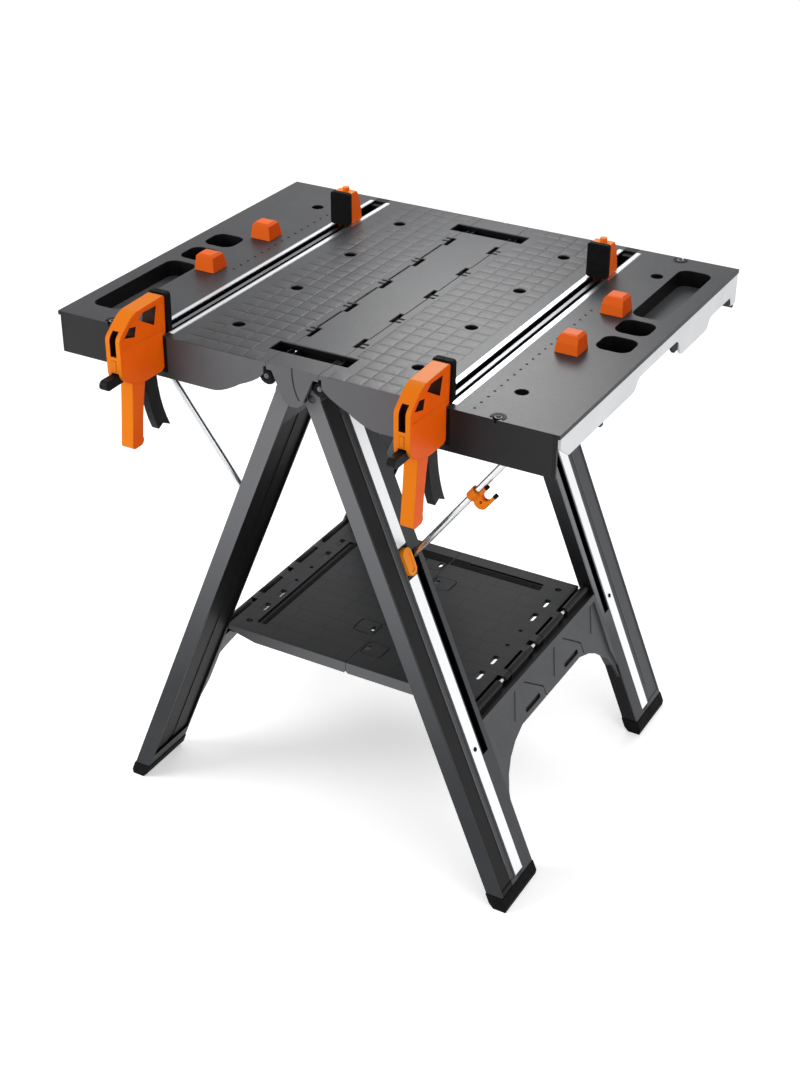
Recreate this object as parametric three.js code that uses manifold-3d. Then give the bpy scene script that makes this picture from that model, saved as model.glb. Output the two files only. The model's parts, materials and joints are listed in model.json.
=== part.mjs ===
// Folding workbench with two clamp rails, two pistol-grip clamps, four bench dogs and a folding shelf.
// Millimetres, +Z up. X runs along the long side, Y from the front edge to the back edge.

import * as THREE from 'three';
import { mergeVertices } from 'three/addons/utils/BufferGeometryUtils.js';
import Module from 'manifold-3d';

const wasm = await Module();
wasm.setup();

// Overall sizes, the clearance between pieces, and how far shapes reach into each other before a join or cut
const TOP_HEIGHT = 813;
const TOP_WIDTH = 787;
const TOP_DEPTH = 635;
const FIT = 0.3;
const LAP = 1;

// Centre beam
const STRIP_WIDTH = 82;
const STRIP_THICK = 10;
const CORE_WIDTH = 56;
const CORE_DEPTH = 58;
const CORE_WALL = 5;
const CORE_TO_LEG = 5;
const END_WALL = 10;
const END_PLATE = 11.5;
const END_PLATE_TOP = 66;
const END_PLATE_WAIST = 34;
const END_PLATE_BELOW = 12;
const SEAM_WIDTH = 2.4;
const SEAM_DEPTH = 1.8;
const BRIDGE_WIDTH = 40;
const BRIDGE_THICK = 8;
const BRIDGE_DROP = 4;
const GRIP_FROM_EDGE = 40;
const GRIP_WIDTH = 31;
const GRIP_LENGTH = 126;

// Panel hinges
const HINGE_DROP = 21;
const HINGE_OUT = 1;
const HINGE_PIN = 6;
const HINGE_EYE = 16;
const HINGE_SLOT = 34;
const FINGER_PITCH = 100;
const FINGER_COUNT = 5;
const FINGER_WIDTH = 24;
const LUG_WIDTH = 30;

// Table panels
const PANEL_GAP = 0.6;
const PLATE = 6;
const SKIRT_DEPTH = 62;
const SKIRT_WALL = 4;
const SKIRT_SLOPE = 90;
const RIB_WALL = 3;
const RIB_DEPTH = 16;
const RIB_TO_HINGE = 14;
const RIB_TO_HOLE = 41;
const RIB_TO_RAIL = 36;
const TUB_WALL = 3;
const TUB_DEPTH = 25;
const HOLE = 20;
const HOLE_PITCH = 152.4;
const HOLE_COUNT = 4;
const HOLE_TO_RAIL = 78;
const HOLE_TO_SIDE = 96.5;
const TRAY_TO_SIDE = 23.5;
const TRAY_WIDTH = 52;
const TRAY_TO_BACK = 43.5;
const TRAY_LENGTH = 198;
const TRAY_CORNER = 16;
const CUP_LENGTH = 50;
const CUP_GAP = 14.5;
const NOTCH = 12;
const NOTCH_TO_SIDE = 90.5;
const NOTCH_TO_EDGE = 5.5;
const NOTCH_DEPTH = 5;

// Clamp rails
const RAIL_TO_SIDE = 171.5;
const RAIL_WIDTH = 40;
const RAIL_HEIGHT = 30;
const RAIL_GROOVE = 21;
const RAIL_FLOOR = 2.5;
const RAIL_LID = 3.5;
const RAIL_WALL = 2;
const RAIL_END = 15;
const CAP_TONGUE = 12;
const CAP_DROP = 4;

// Side aprons, with the depths of the waved edge and the places of its steps from the back edge
const APRON_WALL = 4;
const APRON_CORNER = 22;
const APRON_FRONT = 40;
const APRON_NECK = 24;
const APRON_LOBE = 52;
const APRON_BACK = 36;
const APRON_NOTCH = 26;
const APRON_ROUND = 15;
const NECK_TO_BACK = 387.5;
const LOBE_TO_BACK = 233;
const BACK_TO_BACK = 117.5;
const APRON_TAIL = 21.5;
const APRON_TAIL_SLOPE = 8;

// Clamps. Windows and the face recess are listed from the front edge of the top and from the clamp's top
const CLAMP_THICK = 24;
const CLAMP_BELOW = 49;
const CLAMP_ABOVE = 59;
const CLAMP_FRONT = 95;
const CLAMP_BEND = 54;
const CLAMP_ROUND = 4;
const NOSE_DROP = 25;
const CHIN_RISE = 30;
const JAW_REACH = 8.5;
const TONGUE_LENGTH = 26;
const TONGUE_DROP = 4;
const FACE_RECESS = 1.5;
const FACE_OUTLINE = [[-3, 6], [52, 7], [70, 15], [88, 30], [90, 45], [-2, 51]];
const UPPER_WINDOW = [[9, 10], [40, 9], [50, 16], [16, 36]];
const LOWER_WINDOW = [[56, 23], [70, 20], [82, 31], [60, 37]];
const NOSE_SLOT_WIDTH = 9.6;
const NOSE_SLOT_DEPTH = 12;
const NOSE_SLOT_BELOW = 21;
const NOSE_SLOT_LENGTH = 34;
const HANDLE_LENGTH = 92;
const HANDLE_THICK = 20;
const HANDLE_IN = 24;
const HANDLE_WIDTH = 30;
const HANDLE_LEAN = 10;
const HANDLE_HEEL = 6;
const TRIGGER_THICK = 12;
const TRIGGER_TO_EDGE = 24.5;
const TRIGGER_RISE = 4;
const TRIGGER_HEAD = 9;
const TRIGGER_SHOULDER = 12;
const TRIGGER_LENGTH = 92;
const TRIGGER_SWEEP = 36;
const TRIGGER_ROOM = 15;
const LEVER_LENGTH = 28;
const LEVER_ROOT = 20;
const LEVER_DROP = 29;
const LEVER_THICK = 12;
const LEVER_ROOM = 9;
const PAD_THICK = 10;
const PAD_WIDTH = 30;
const PAD_LIFT = 1.5;
const PAD_ABOVE = 2;
const BAR_THICK = 6;
const BAR_HEIGHT = 16;
const BAR_DROP = 2;
const BAR_STOP = 6;
const BAR_STOP_PROUD = 0.5;
const TAIL_TO_BACK = 142.5;
const TAIL_DEPTH = 34;
const TAIL_TOP = 54;
const TAIL_PAD_THICK = 8;
const TAIL_PAD_WIDTH = 34;
const TAIL_WALL = 4;
const KNOB = 11;
const KNOB_RISE = 6;

// Bench dogs
const DOG = 35;
const DOG_HEIGHT = 26;
const DOG_SHANK = 24;
const DOG_SHANK_FIT = 1.8;
const DOG_TAPER = 2.5;
const DOG_SLOPE = 12;
const DOG_ROUND = 4;

// Leg frames. Places along a leg are measured from the pivot
const PIVOT_X = 22;
const PIVOT_DROP = 45;
const PIVOT_PIN = 12;
const PIN_INSET = 4;
const LEG_HEAD = 28;
const FOOT_SPREAD = 331;
const FOOT_HEIGHT = 24;
const FOOT_LIP = 1;
const FOOT_CHAMFER = 8;
const LEG_THICK = 25;
const LEG_WIDTH = 101;
const LEG_TO_EDGE = 13.5;
const LEG_WALL = 4;
const LEG_SOLID_TOP = 52;
const LEG_SOLID_END = 30;
const LEG_RIB = 8;
const LEG_RIB_APART = 26;
const SLOT_START = 268;
const SLOT_END = 604;
const SLOT_IN = 18.5;
const SLOT_WIDTH = 16;
const STRIPE_WIDTH = 22;
const STRIPE_THICK = 2.4;
const STRIPE_START = 42;
const STRIPE_IN = 40.5;
const STRIPE_TO_FOOT = 8;
const STRIPE_TO_BUTTON = 4;
const BAND_RECESS = 1.2;
const BAND_EDGE = 4;
const BAND_START = 24;
const BUTTON_LENGTH = 42;
const BUTTON_WIDTH = 22;
const BUTTON_PROUD = 5;
const BUTTON_STEM = 7;
const BUTTON_ABOVE_SLOT = 12;
const BUTTON_RIM = 5;
const BUTTON_DISH = 1.5;

// Cross panels: cells that repeat along the panel, each with a facet, a keyhole pocket and a seam
const CROSS_TOP_DROP = 7.4;
const CROSS_PLATE = 5;
const CROSS_STEP = 4;
const CROSS_BEAM = 15;
const CROSS_HEIGHT = 71;
const CROSS_ARCH = 210;
const CROSS_ARCH_DROP = 92;
const CROSS_ARCH_ROUND = 14;
const CROSS_POST = 9;
const CELL_FIRST = -162;
const CELL_PITCH = 140;
const CELL_COUNT = 3;
const FACET_WIDTH = 68;
const FACET_APEX = 42;
const FACET_TOP = 10;
const FACET_BOTTOM = 58;
const FACET_DEPTH = 1.2;
const KEYHOLE_IN = 77;
const KEYHOLE_LENGTH = 51;
const KEYHOLE_WIDTH = 8;
const KEYHOLE_DEPTH = 3.5;
const KEYHOLE_UP = 12;
const CELL_SEAM_IN = 92;
const CELL_SEAM_SHIFT = 51;
const CELL_SEAM_TOP = 8;
const CELL_SEAM_BOTTOM = 53;

// Shelf and its hinges
const KNUCKLE_Z = 260;
const KNUCKLE_EYE = 13;
const INNER_KNUCKLE = 58;
const INNER_KNUCKLE_Y = 55;
const OUTER_KNUCKLE = 80;
const OUTER_KNUCKLE_Y = 157;
const KNUCKLE_GAP = 0.5;
const SHELF_EYE = 18;
const SHELF_PIN = 6;
const SHELF_PIN_INSET = 4;
const SHELF_TO_LEG = 12;
const SHELF_TO_KNUCKLE = 2;
const SHELF_THICK = 19;
const SHELF_LIFT = 2;
const SHELF_FLANGE = 7.5;
const SHELF_FLANGE_LENGTH = 58;
const SHELF_WALL = 5;
const SHELF_FLOOR = 4;
const FLANGE_HOLE_PITCH = 46.7;
const FLANGE_HOLE_COUNT = 8;
const FLANGE_SLOTS = 2;
const FLANGE_HOLE_IN = 26;
const FLANGE_SLOT = 26;
const FLANGE_SLOT_WIDTH = 9;
const FLANGE_DOT = 8;
const FLANGE_CORNER_HOLE = 12;
const LATCH_Y = [-137, 86];
const LATCH_LENGTH = 38;
const LATCH_WIDTH = 38;
const LATCH_GROOVE = 1.8;
const LATCH_HOLE = 14;
const LATCH_HOLE_WIDTH = 7;
const TROUGH_WIDTH = 9;
const TROUGH_DEPTH = 3;
const TROUGH_TO_EDGE = 28;
const TROUGH_START = 32;
const TROUGH_INSET = 34;
const MID_EYE = 10;
const MID_PIN = 5;
const MID_WIDTH = 32;
const MID_GAP = 2;
const MID_Y = [-60, 26];
const MID_ROOM = 0.8;

// Braces that hold the panels open, and the cord hook
const BRACE = 10;
const BRACE_TO_SIDE = 67.5;
const BRACE_DROP = 43;
const BRACE_FOOT = 12;
const BRACE_FOOT_OFF = 4;
const SADDLE_WIDTH = 18;
const SADDLE_LENGTH = 22;
const HOOK_ALONG = 162;
const HOOK_LENGTH = 24;
const HOOK_THICK = 8;
const HOOK_INNER = 6;
const HOOK_OUTER = 11;
const HOOK_ROOT = 12;
const HOOK_HOLE = 5;
const HOOK_DROP = 4;
const HOOK_RING = 16;
const HOOK_RING_WALL = 3;

// Facets of round pieces, and the steps in which the curves of an outline are drawn
const ROUND = 12;
const HEAD_ROUND = 16;
const HOLE_ROUND = 10;
const BORE_ROUND = 8;
const DOT_ROUND = 6;
const SINGLE = 1;
const COARSE = 2;
const MEDIUM = 3;
const FINE = 4;
const SMOOTH = 5;

// Derived places
const HALF_W = TOP_WIDTH / 2;
const HALF_D = TOP_DEPTH / 2;
const HALF_STRIP = STRIP_WIDTH / 2;
const STRIP_BOTTOM = TOP_HEIGHT - STRIP_THICK;
const PLATE_BOTTOM = TOP_HEIGHT - PLATE;
const SKIRT_BOTTOM = TOP_HEIGHT - SKIRT_DEPTH;
const GRIP_OUTER = HALF_D - GRIP_FROM_EDGE;
const GRIP_INNER = GRIP_OUTER - GRIP_WIDTH;
const HINGE_X = HALF_STRIP + HINGE_OUT;
const HINGE_Z = TOP_HEIGHT - HINGE_DROP;
const PANEL_IN = HALF_STRIP + PANEL_GAP;
const RAIL_X = HALF_W - RAIL_TO_SIDE;
const RAIL_BOTTOM = TOP_HEIGHT - RAIL_HEIGHT;
const RAIL_REACH = HALF_D - RAIL_END;
const MAIN_HOLE_X = RAIL_X - HOLE_TO_RAIL;
const WING_HOLE_X = HALF_W - HOLE_TO_SIDE;
const CLAMP_BOTTOM = TOP_HEIGHT - CLAMP_BELOW;
const CLAMP_TOP = TOP_HEIGHT + CLAMP_ABOVE;
const BAR_TOP = TOP_HEIGHT - BAR_DROP;
const BAR_BOTTOM = BAR_TOP - BAR_HEIGHT;
const LEVER_Z = TOP_HEIGHT - LEVER_DROP;
const TRIGGER_Z = CLAMP_BOTTOM + TRIGGER_RISE;
const PIVOT_Z = TOP_HEIGHT - PIVOT_DROP;
const LEG_OUTER = HALF_D - LEG_TO_EDGE;
const LEG_INNER = LEG_OUTER - LEG_WIDTH;
const LEG_MIDDLE = LEG_INNER + LEG_WIDTH / 2;
const LEG_ANGLE = Math.atan2(FOOT_SPREAD - PIVOT_X, PIVOT_Z);
const HALF_LEG = LEG_THICK / 2;
const STRIPE_Y = LEG_INNER + STRIPE_IN;
const BRACE_Y = LEG_INNER + SLOT_IN;
const BRACE_TOP_X = HALF_W - BRACE_TO_SIDE;
const BRACE_TOP_Z = TOP_HEIGHT - BRACE_DROP;
const KNUCKLE_X = PIVOT_X + (PIVOT_Z - KNUCKLE_Z) * Math.tan(LEG_ANGLE);
const SHELF_TOP = KNUCKLE_Z + SHELF_FLANGE / 2 + SHELF_LIFT;
const SHELF_HALF_DEPTH = LEG_INNER - SHELF_TO_LEG;
const MID_Z = SHELF_TOP - SHELF_THICK;
const Y_SHIFT = (CLAMP_FRONT + LEVER_LENGTH) / 2;

// Materials
const plastic = (color, roughness) => new THREE.MeshStandardMaterial({ color, roughness, metalness: 0 });
const metal = (color, roughness) => new THREE.MeshStandardMaterial({ color, roughness, metalness: 1 });
const TOP_GREY = plastic(0x57585c, 0.55);
const DARK_GREY = plastic(0x3c3d41, 0.6);
const LEG_GREY = plastic(0x45474b, 0.55);
const PALE_GREY = plastic(0xc4c5c7, 0.5);
const ORANGE = plastic(0xf06e0c, 0.4);
const BLACK = plastic(0x151517, 0.7);
const ALUMINIUM = metal(0xd4d6d9, 0.3);
const STEEL = metal(0xb8bbbf, 0.25);

// Solids: closed three.js geometry goes in and out of the boolean library
function solid(geometry) {
  geometry.deleteAttribute('normal');
  geometry.deleteAttribute('uv');
  const merged = mergeVertices(geometry, 1e-4);
  return new wasm.Manifold(new wasm.Mesh({
    numProp: 3,
    vertProperties: new Float32Array(merged.attributes.position.array),
    triVerts: new Uint32Array(merged.index.array),
  }));
}

function geometryOf(body) {
  const mesh = body.getMesh();
  const geometry = new THREE.BufferGeometry();
  geometry.setAttribute('position', new THREE.BufferAttribute(new Float32Array(mesh.vertProperties), 3));
  geometry.setIndex(new THREE.BufferAttribute(new Uint32Array(mesh.triVerts), 1));
  geometry.computeVertexNormals();
  return geometry;
}

const join = (...bodies) => bodies.reduce((all, body) => all.add(body));
const cut = (body, ...tools) => tools.reduce((rest, tool) => rest.subtract(tool), body);
const span = (a, b) => (a < b ? [a, b] : [b, a]);

function box([x0, x1], [y0, y1], [z0, z1]) {
  const geometry = new THREE.BoxGeometry(x1 - x0, y1 - y0, z1 - z0);
  geometry.translate((x0 + x1) / 2, (y0 + y1) / 2, (z0 + z1) / 2);
  return solid(geometry);
}

// A closed outline, listed either way round
function outline(points) {
  const corners = points.map(([a, b]) => new THREE.Vector2(a, b));
  return new THREE.Shape(THREE.ShapeUtils.isClockWise(corners) ? corners.reverse() : corners);
}

function extrude(shape, length, segments) {
  return new THREE.ExtrudeGeometry(shape, { depth: length, bevelEnabled: false, curveSegments: segments });
}

// A prism along Z from an outline in X and Y
function prismZ(shape, [z0, z1], segments = FINE) {
  return solid(extrude(shape, z1 - z0, segments).translate(0, 0, z0));
}

// A prism along Y from an outline in X and Z
function prismY(shape, [y0, y1], segments = SMOOTH) {
  return solid(extrude(shape, y1 - y0, segments).rotateX(Math.PI / 2).translate(0, y1, 0));
}

// A prism along X from an outline in Y and Z
function prismX(shape, [x0, x1], segments = MEDIUM) {
  const geometry = extrude(shape, x1 - x0, segments);
  return solid(geometry.rotateX(Math.PI / 2).rotateZ(Math.PI / 2).translate(x0, 0, 0));
}

function rodX(diameter, y, z, [x0, x1], sides = ROUND) {
  const geometry = new THREE.CylinderGeometry(diameter / 2, diameter / 2, x1 - x0, sides);
  return solid(geometry.rotateZ(Math.PI / 2).translate((x0 + x1) / 2, y, z));
}

function rodY(diameter, x, z, [y0, y1], sides = ROUND) {
  const geometry = new THREE.CylinderGeometry(diameter / 2, diameter / 2, y1 - y0, sides);
  return solid(geometry.translate(x, (y0 + y1) / 2, z));
}

function rodZ(diameter, x, y, [z0, z1], sides = ROUND) {
  const geometry = new THREE.CylinderGeometry(diameter / 2, diameter / 2, z1 - z0, sides);
  return solid(geometry.rotateX(Math.PI / 2).translate(x, y, (z0 + z1) / 2));
}

function roundRect([x0, x1], [y0, y1], r) {
  const shape = new THREE.Shape();
  shape.moveTo(x0 + r, y0);
  shape.lineTo(x1 - r, y0);
  shape.absarc(x1 - r, y0 + r, r, -Math.PI / 2, 0);
  shape.lineTo(x1, y1 - r);
  shape.absarc(x1 - r, y1 - r, r, 0, Math.PI / 2);
  shape.lineTo(x0 + r, y1);
  shape.absarc(x0 + r, y1 - r, r, Math.PI / 2, Math.PI);
  shape.lineTo(x0, y0 + r);
  shape.absarc(x0 + r, y0 + r, r, Math.PI, Math.PI * 1.5);
  return shape;
}

// A straight band of the given width between two points
function bandBetween([ax, ay], [bx, by], width) {
  const length = Math.hypot(bx - ax, by - ay);
  const nx = ((by - ay) / length) * (width / 2);
  const ny = ((ax - bx) / length) * (width / 2);
  return outline([[ax - nx, ay - ny], [ax + nx, ay + ny], [bx + nx, by + ny], [bx - nx, by - ny]]);
}

const around = (middle, width) => [middle - width / 2, middle + width / 2];
const grown = ([from, to], by) => [from - by, to + by];

const bench = new THREE.Group();
bench.position.y = Y_SHIFT;

function node(name, body, material, parent = bench) {
  const mesh = new THREE.Mesh(geometryOf(body), material);
  mesh.name = name;
  parent.add(mesh);
}

// What is the same on both sides is built on the right and turned half a turn about Z for the left
function sideGroup(side) {
  const group = new THREE.Group();
  group.rotation.z = side === 'left' ? Math.PI : 0;
  bench.add(group);
  return group;
}

const SIDES = ['right', 'left'];
const ENDS = [-1, 1];
const signOf = (side) => (side === 'right' ? 1 : -1);
const endName = (side, end) => (signOf(side) * end < 0 ? 'front' : 'back');
const pattern = (count, pitch) => Array.from({ length: count }, (_, i) => (i - (count - 1) / 2) * pitch);
const fingerPlaces = pattern(FINGER_COUNT, FINGER_PITCH);
const lugPlaces = pattern(FINGER_COUNT - 1, FINGER_PITCH);
const holePlaces = pattern(HOLE_COUNT, HOLE_PITCH);
const saddlePlaces = pattern(HOLE_COUNT - 1, HOLE_PITCH);

// A point of a leg: along it from the pivot, and off its centre line towards the outside
function legPoint(along, off) {
  const x = PIVOT_X + along * Math.sin(LEG_ANGLE) + off * Math.cos(LEG_ANGLE);
  const z = PIVOT_Z - along * Math.cos(LEG_ANGLE) + off * Math.sin(LEG_ANGLE);
  return [x, z];
}

const alongAt = (z, off) => (PIVOT_Z + off * Math.sin(LEG_ANGLE) - z) / Math.cos(LEG_ANGLE);

function legBand([a0, a1], [off0, off1]) {
  return outline([legPoint(a0, off0), legPoint(a1, off0), legPoint(a1, off1), legPoint(a0, off1)]);
}

// Centre beam: the fixed strip of the top, the channel below it and the plates that hold the leg pins
function centreBeam() {
  const halfCore = CORE_WIDTH / 2;
  const halfLength = LEG_INNER - CORE_TO_LEG;
  const coreBottom = TOP_HEIGHT - CORE_DEPTH;
  const inside = halfCore - CORE_WALL;
  const hollowHalf = halfLength - END_WALL;
  const slotBand = [STRIP_BOTTOM - LAP, TOP_HEIGHT + LAP];
  let body = join(
    box([-HALF_STRIP, HALF_STRIP], [-HALF_D, HALF_D], [STRIP_BOTTOM, TOP_HEIGHT]),
    box([-halfCore, halfCore], [-halfLength, halfLength], [coreBottom, STRIP_BOTTOM + LAP]),
  );
  const hollow = [coreBottom - LAP, STRIP_BOTTOM - CORE_WALL];
  body = cut(body, box([-inside, inside], [-hollowHalf, hollowHalf], hollow));
  for (const end of ENDS) {
    const bridgeTop = STRIP_BOTTOM - BRIDGE_DROP;
    const bridge = span(end * hollowHalf, end * HALF_D);
    const plate = span(end * (HALF_D - END_PLATE), end * HALF_D);
    const seam = span(end * (HALF_D - SEAM_DEPTH), end * (HALF_D + LAP));
    const grip = span(end * GRIP_INNER, end * GRIP_OUTER);
    body = cut(body, box([-HALF_STRIP - LAP, HALF_STRIP + LAP], grip, slotBand));
    body = join(
      body,
      box(around(0, BRIDGE_WIDTH), bridge, [bridgeTop - BRIDGE_THICK, bridgeTop]),
      prismY(endPlateShape(STRIP_BOTTOM + LAP), plate),
    );
    body = cut(body, prismY(endSeamShape(-end), seam));
  }
  for (const side of ENDS) {
    for (const y of lugPlaces) {
      body = join(body, prismY(lugShape(side, halfCore - LAP), around(y, LUG_WIDTH), MEDIUM));
    }
    for (const y of fingerPlaces) {
      const notch = span(side * (HINGE_X - HINGE_EYE / 2 - FIT), side * (HALF_STRIP + LAP));
      body = cut(body, box(notch, around(y, HINGE_SLOT), slotBand));
    }
    body = cut(
      body,
      rodY(HINGE_PIN + 2 * FIT, side * HINGE_X, HINGE_Z, [-HALF_D, HALF_D], BORE_ROUND),
      rodY(PIVOT_PIN + 2 * FIT, side * PIVOT_X, PIVOT_Z, [PIN_INSET - HALF_D, HALF_D - PIN_INSET]),
    );
  }
  node('centre_beam', body, TOP_GREY);
}

function endPlateShape(top) {
  const wide = END_PLATE_TOP / 2;
  const narrow = END_PLATE_WAIST / 2;
  const bottom = PIVOT_Z - END_PLATE_BELOW;
  const shape = new THREE.Shape();
  shape.moveTo(-wide, top);
  shape.lineTo(-narrow, PIVOT_Z);
  shape.quadraticCurveTo(-narrow * 0.75, bottom, 0, bottom);
  shape.quadraticCurveTo(narrow * 0.75, bottom, narrow, PIVOT_Z);
  shape.lineTo(wide, top);
  return shape;
}

// Curved seam down the end plate, from the middle of the strip to one side of the tip
function endSeamShape(hand) {
  const half = SEAM_WIDTH / 2;
  const foot = hand * END_PLATE_WAIST * 0.3;
  const bend = (STRIP_BOTTOM + PIVOT_Z) / 2;
  const shape = new THREE.Shape();
  shape.moveTo(-half, TOP_HEIGHT);
  shape.quadraticCurveTo(-half, bend, foot - half, PIVOT_Z);
  shape.lineTo(foot + half, PIVOT_Z);
  shape.quadraticCurveTo(half, bend, half, TOP_HEIGHT);
  return shape;
}

function lugShape(side, inner) {
  const r = HINGE_EYE / 2;
  const shape = new THREE.Shape();
  shape.moveTo(side * inner, HINGE_Z - r);
  shape.lineTo(side * HINGE_X, HINGE_Z - r);
  shape.absarc(side * HINGE_X, HINGE_Z, r, -Math.PI / 2, Math.PI / 2, side < 0);
  shape.lineTo(side * inner, HINGE_Z + r);
  return shape;
}

function pins() {
  const reach = fingerPlaces[FINGER_COUNT - 1] + FINGER_WIDTH / 2;
  const legReach = LEG_OUTER - LAP;
  for (const side of SIDES) {
    const sign = signOf(side);
    node(`${side}_hinge_pin`, rodY(HINGE_PIN, sign * HINGE_X, HINGE_Z, [-reach, reach]), STEEL);
    node(`${side}_leg_pin`, rodY(PIVOT_PIN, sign * PIVOT_X, PIVOT_Z, [-legReach, legReach]), STEEL);
  }
}

// Table panel of the right side, hinge edge towards the centre
function tablePanel(side) {
  const underPlate = PLATE_BOTTOM + LAP;
  const aboveTop = TOP_HEIGHT + LAP;
  const inSkirts = HALF_D - SKIRT_WALL - LAP;
  const ribs = [PLATE_BOTTOM - RIB_DEPTH, underPlate];
  const railHalf = RAIL_WIDTH / 2 + FIT;
  const troughHalf = railHalf + TUB_WALL;
  let body = box([PANEL_IN, HALF_W], [-HALF_D, HALF_D], [PLATE_BOTTOM, TOP_HEIGHT]);
  for (const end of ENDS) {
    body = join(body, prismY(skirtShape(), span(end * (HALF_D - SKIRT_WALL), end * HALF_D)));
  }
  for (const y of fingerPlaces) {
    body = join(body, prismY(fingerShape(), around(y, FINGER_WIDTH), FINE));
  }
  const trough = [RAIL_BOTTOM - FIT - TUB_WALL, underPlate];
  body = join(
    body,
    box([RAIL_X - troughHalf, RAIL_X + troughHalf], [-HALF_D, HALF_D], trough),
    box([PANEL_IN + RIB_TO_HINGE, RAIL_X], around(0, RIB_WALL), ribs),
  );
  for (const x of [MAIN_HOLE_X - RIB_TO_HOLE, RAIL_X - RIB_TO_RAIL]) {
    body = join(body, box([x, x + RIB_WALL], [-inSkirts - 2 * LAP, inSkirts + 2 * LAP], ribs));
  }
  for (const [x, y] of pockets()) {
    const tub = roundRect(grown(x, TUB_WALL), grown(y, TUB_WALL), TRAY_CORNER + TUB_WALL);
    body = join(body, prismZ(tub, [TOP_HEIGHT - TUB_DEPTH - TUB_WALL, underPlate], COARSE));
  }
  for (const y of saddlePlaces) {
    const saddle = [BRACE_TOP_Z - SADDLE_WIDTH / 2, underPlate];
    body = join(body, box(around(BRACE_TOP_X, SADDLE_WIDTH), around(y, SADDLE_LENGTH), saddle));
  }
  for (const x of [MAIN_HOLE_X, WING_HOLE_X]) {
    for (const y of holePlaces) {
      const boss = HOLE + 2 * TUB_WALL;
      body = join(body, box(around(x, boss), around(y, boss), [TOP_HEIGHT - DOG_SHANK, underPlate]));
    }
  }
  for (const [x, y] of pockets()) {
    body = cut(body, prismZ(roundRect(x, y, TRAY_CORNER), [TOP_HEIGHT - TUB_DEPTH, aboveTop], MEDIUM));
  }
  const railRoom = [-RAIL_REACH - FIT, RAIL_REACH + FIT];
  const grooveRoom = around(RAIL_X, RAIL_GROOVE + 2 * FIT);
  body = cut(
    body,
    box([RAIL_X - railHalf, RAIL_X + railHalf], railRoom, [RAIL_BOTTOM - FIT, aboveTop]),
    box(grooveRoom, [-HALF_D - LAP, HALF_D + LAP], [RAIL_BOTTOM + RAIL_FLOOR, aboveTop]),
    rodY(BRACE + 2 * FIT, BRACE_TOP_X, BRACE_TOP_Z, [-inSkirts, inSkirts]),
    rodY(HINGE_PIN + 2 * FIT, HINGE_X, HINGE_Z, [-inSkirts, inSkirts], BORE_ROUND),
  );
  for (const x of [MAIN_HOLE_X, WING_HOLE_X]) {
    for (const y of holePlaces) {
      body = cut(body, rodZ(HOLE, x, y, [TOP_HEIGHT - DOG_SHANK - LAP, aboveTop], HOLE_ROUND));
    }
  }
  for (const end of ENDS) {
    const grip = span(end * GRIP_INNER, end * GRIP_OUTER);
    const notchY = end * (HALF_D - NOTCH_TO_EDGE);
    body = cut(
      body,
      box([PANEL_IN - LAP, GRIP_LENGTH / 2], grip, [PLATE_BOTTOM - RIB_DEPTH - LAP, aboveTop]),
      rodZ(NOTCH, HALF_W - NOTCH_TO_SIDE, notchY, [TOP_HEIGHT - NOTCH_DEPTH, aboveTop], BORE_ROUND),
    );
  }
  node(`${side}_panel`, body, TOP_GREY, sideGroup(side));
}

// The long tray and the two cups in front of it, each as its X and Y range
function pockets() {
  const x = [HALF_W - TRAY_TO_SIDE - TRAY_WIDTH, HALF_W - TRAY_TO_SIDE];
  const trayBack = HALF_D - TRAY_TO_BACK;
  const trayFront = trayBack - TRAY_LENGTH;
  const firstBack = trayFront - CUP_GAP;
  const secondBack = firstBack - CUP_LENGTH - CUP_GAP;
  const cups = [firstBack, secondBack].map((back) => [x, [back - CUP_LENGTH, back]]);
  return [[x, [trayFront, trayBack]], ...cups];
}

// The skirt drops from the hinge in an S curve to its full depth
function skirtShape() {
  const start = HINGE_X + HINGE_EYE / 4;
  const slopeEnd = HINGE_X + SKIRT_SLOPE;
  const shape = new THREE.Shape();
  shape.moveTo(start, TOP_HEIGHT);
  shape.lineTo(start, TOP_HEIGHT - SKIRT_DEPTH * 0.29);
  const turnZ = HINGE_Z - SKIRT_DEPTH * 0.34;
  const bendZ = HINGE_Z - SKIRT_DEPTH * 0.16;
  shape.quadraticCurveTo(start + SKIRT_SLOPE * 0.11, bendZ, start + SKIRT_SLOPE * 0.42, turnZ);
  shape.quadraticCurveTo(slopeEnd - SKIRT_SLOPE * 0.2, SKIRT_BOTTOM, slopeEnd, SKIRT_BOTTOM);
  shape.lineTo(HALF_W - APRON_WALL, SKIRT_BOTTOM);
  shape.lineTo(HALF_W - APRON_WALL, PLATE_BOTTOM);
  shape.lineTo(HALF_W, PLATE_BOTTOM);
  shape.lineTo(HALF_W, TOP_HEIGHT);
  return shape;
}

// A hinge finger hangs from the plate and stays below the slot of the strip
function fingerShape() {
  const r = HINGE_EYE / 2;
  const shape = new THREE.Shape();
  shape.moveTo(PANEL_IN, PLATE_BOTTOM + LAP);
  shape.lineTo(PANEL_IN, HINGE_Z + r);
  shape.lineTo(HINGE_X - r, HINGE_Z + r);
  shape.lineTo(HINGE_X - r, HINGE_Z);
  shape.absarc(HINGE_X, HINGE_Z, r, Math.PI, Math.PI * 2);
  shape.lineTo(HINGE_X + r, PLATE_BOTTOM + LAP);
  return shape;
}

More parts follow.
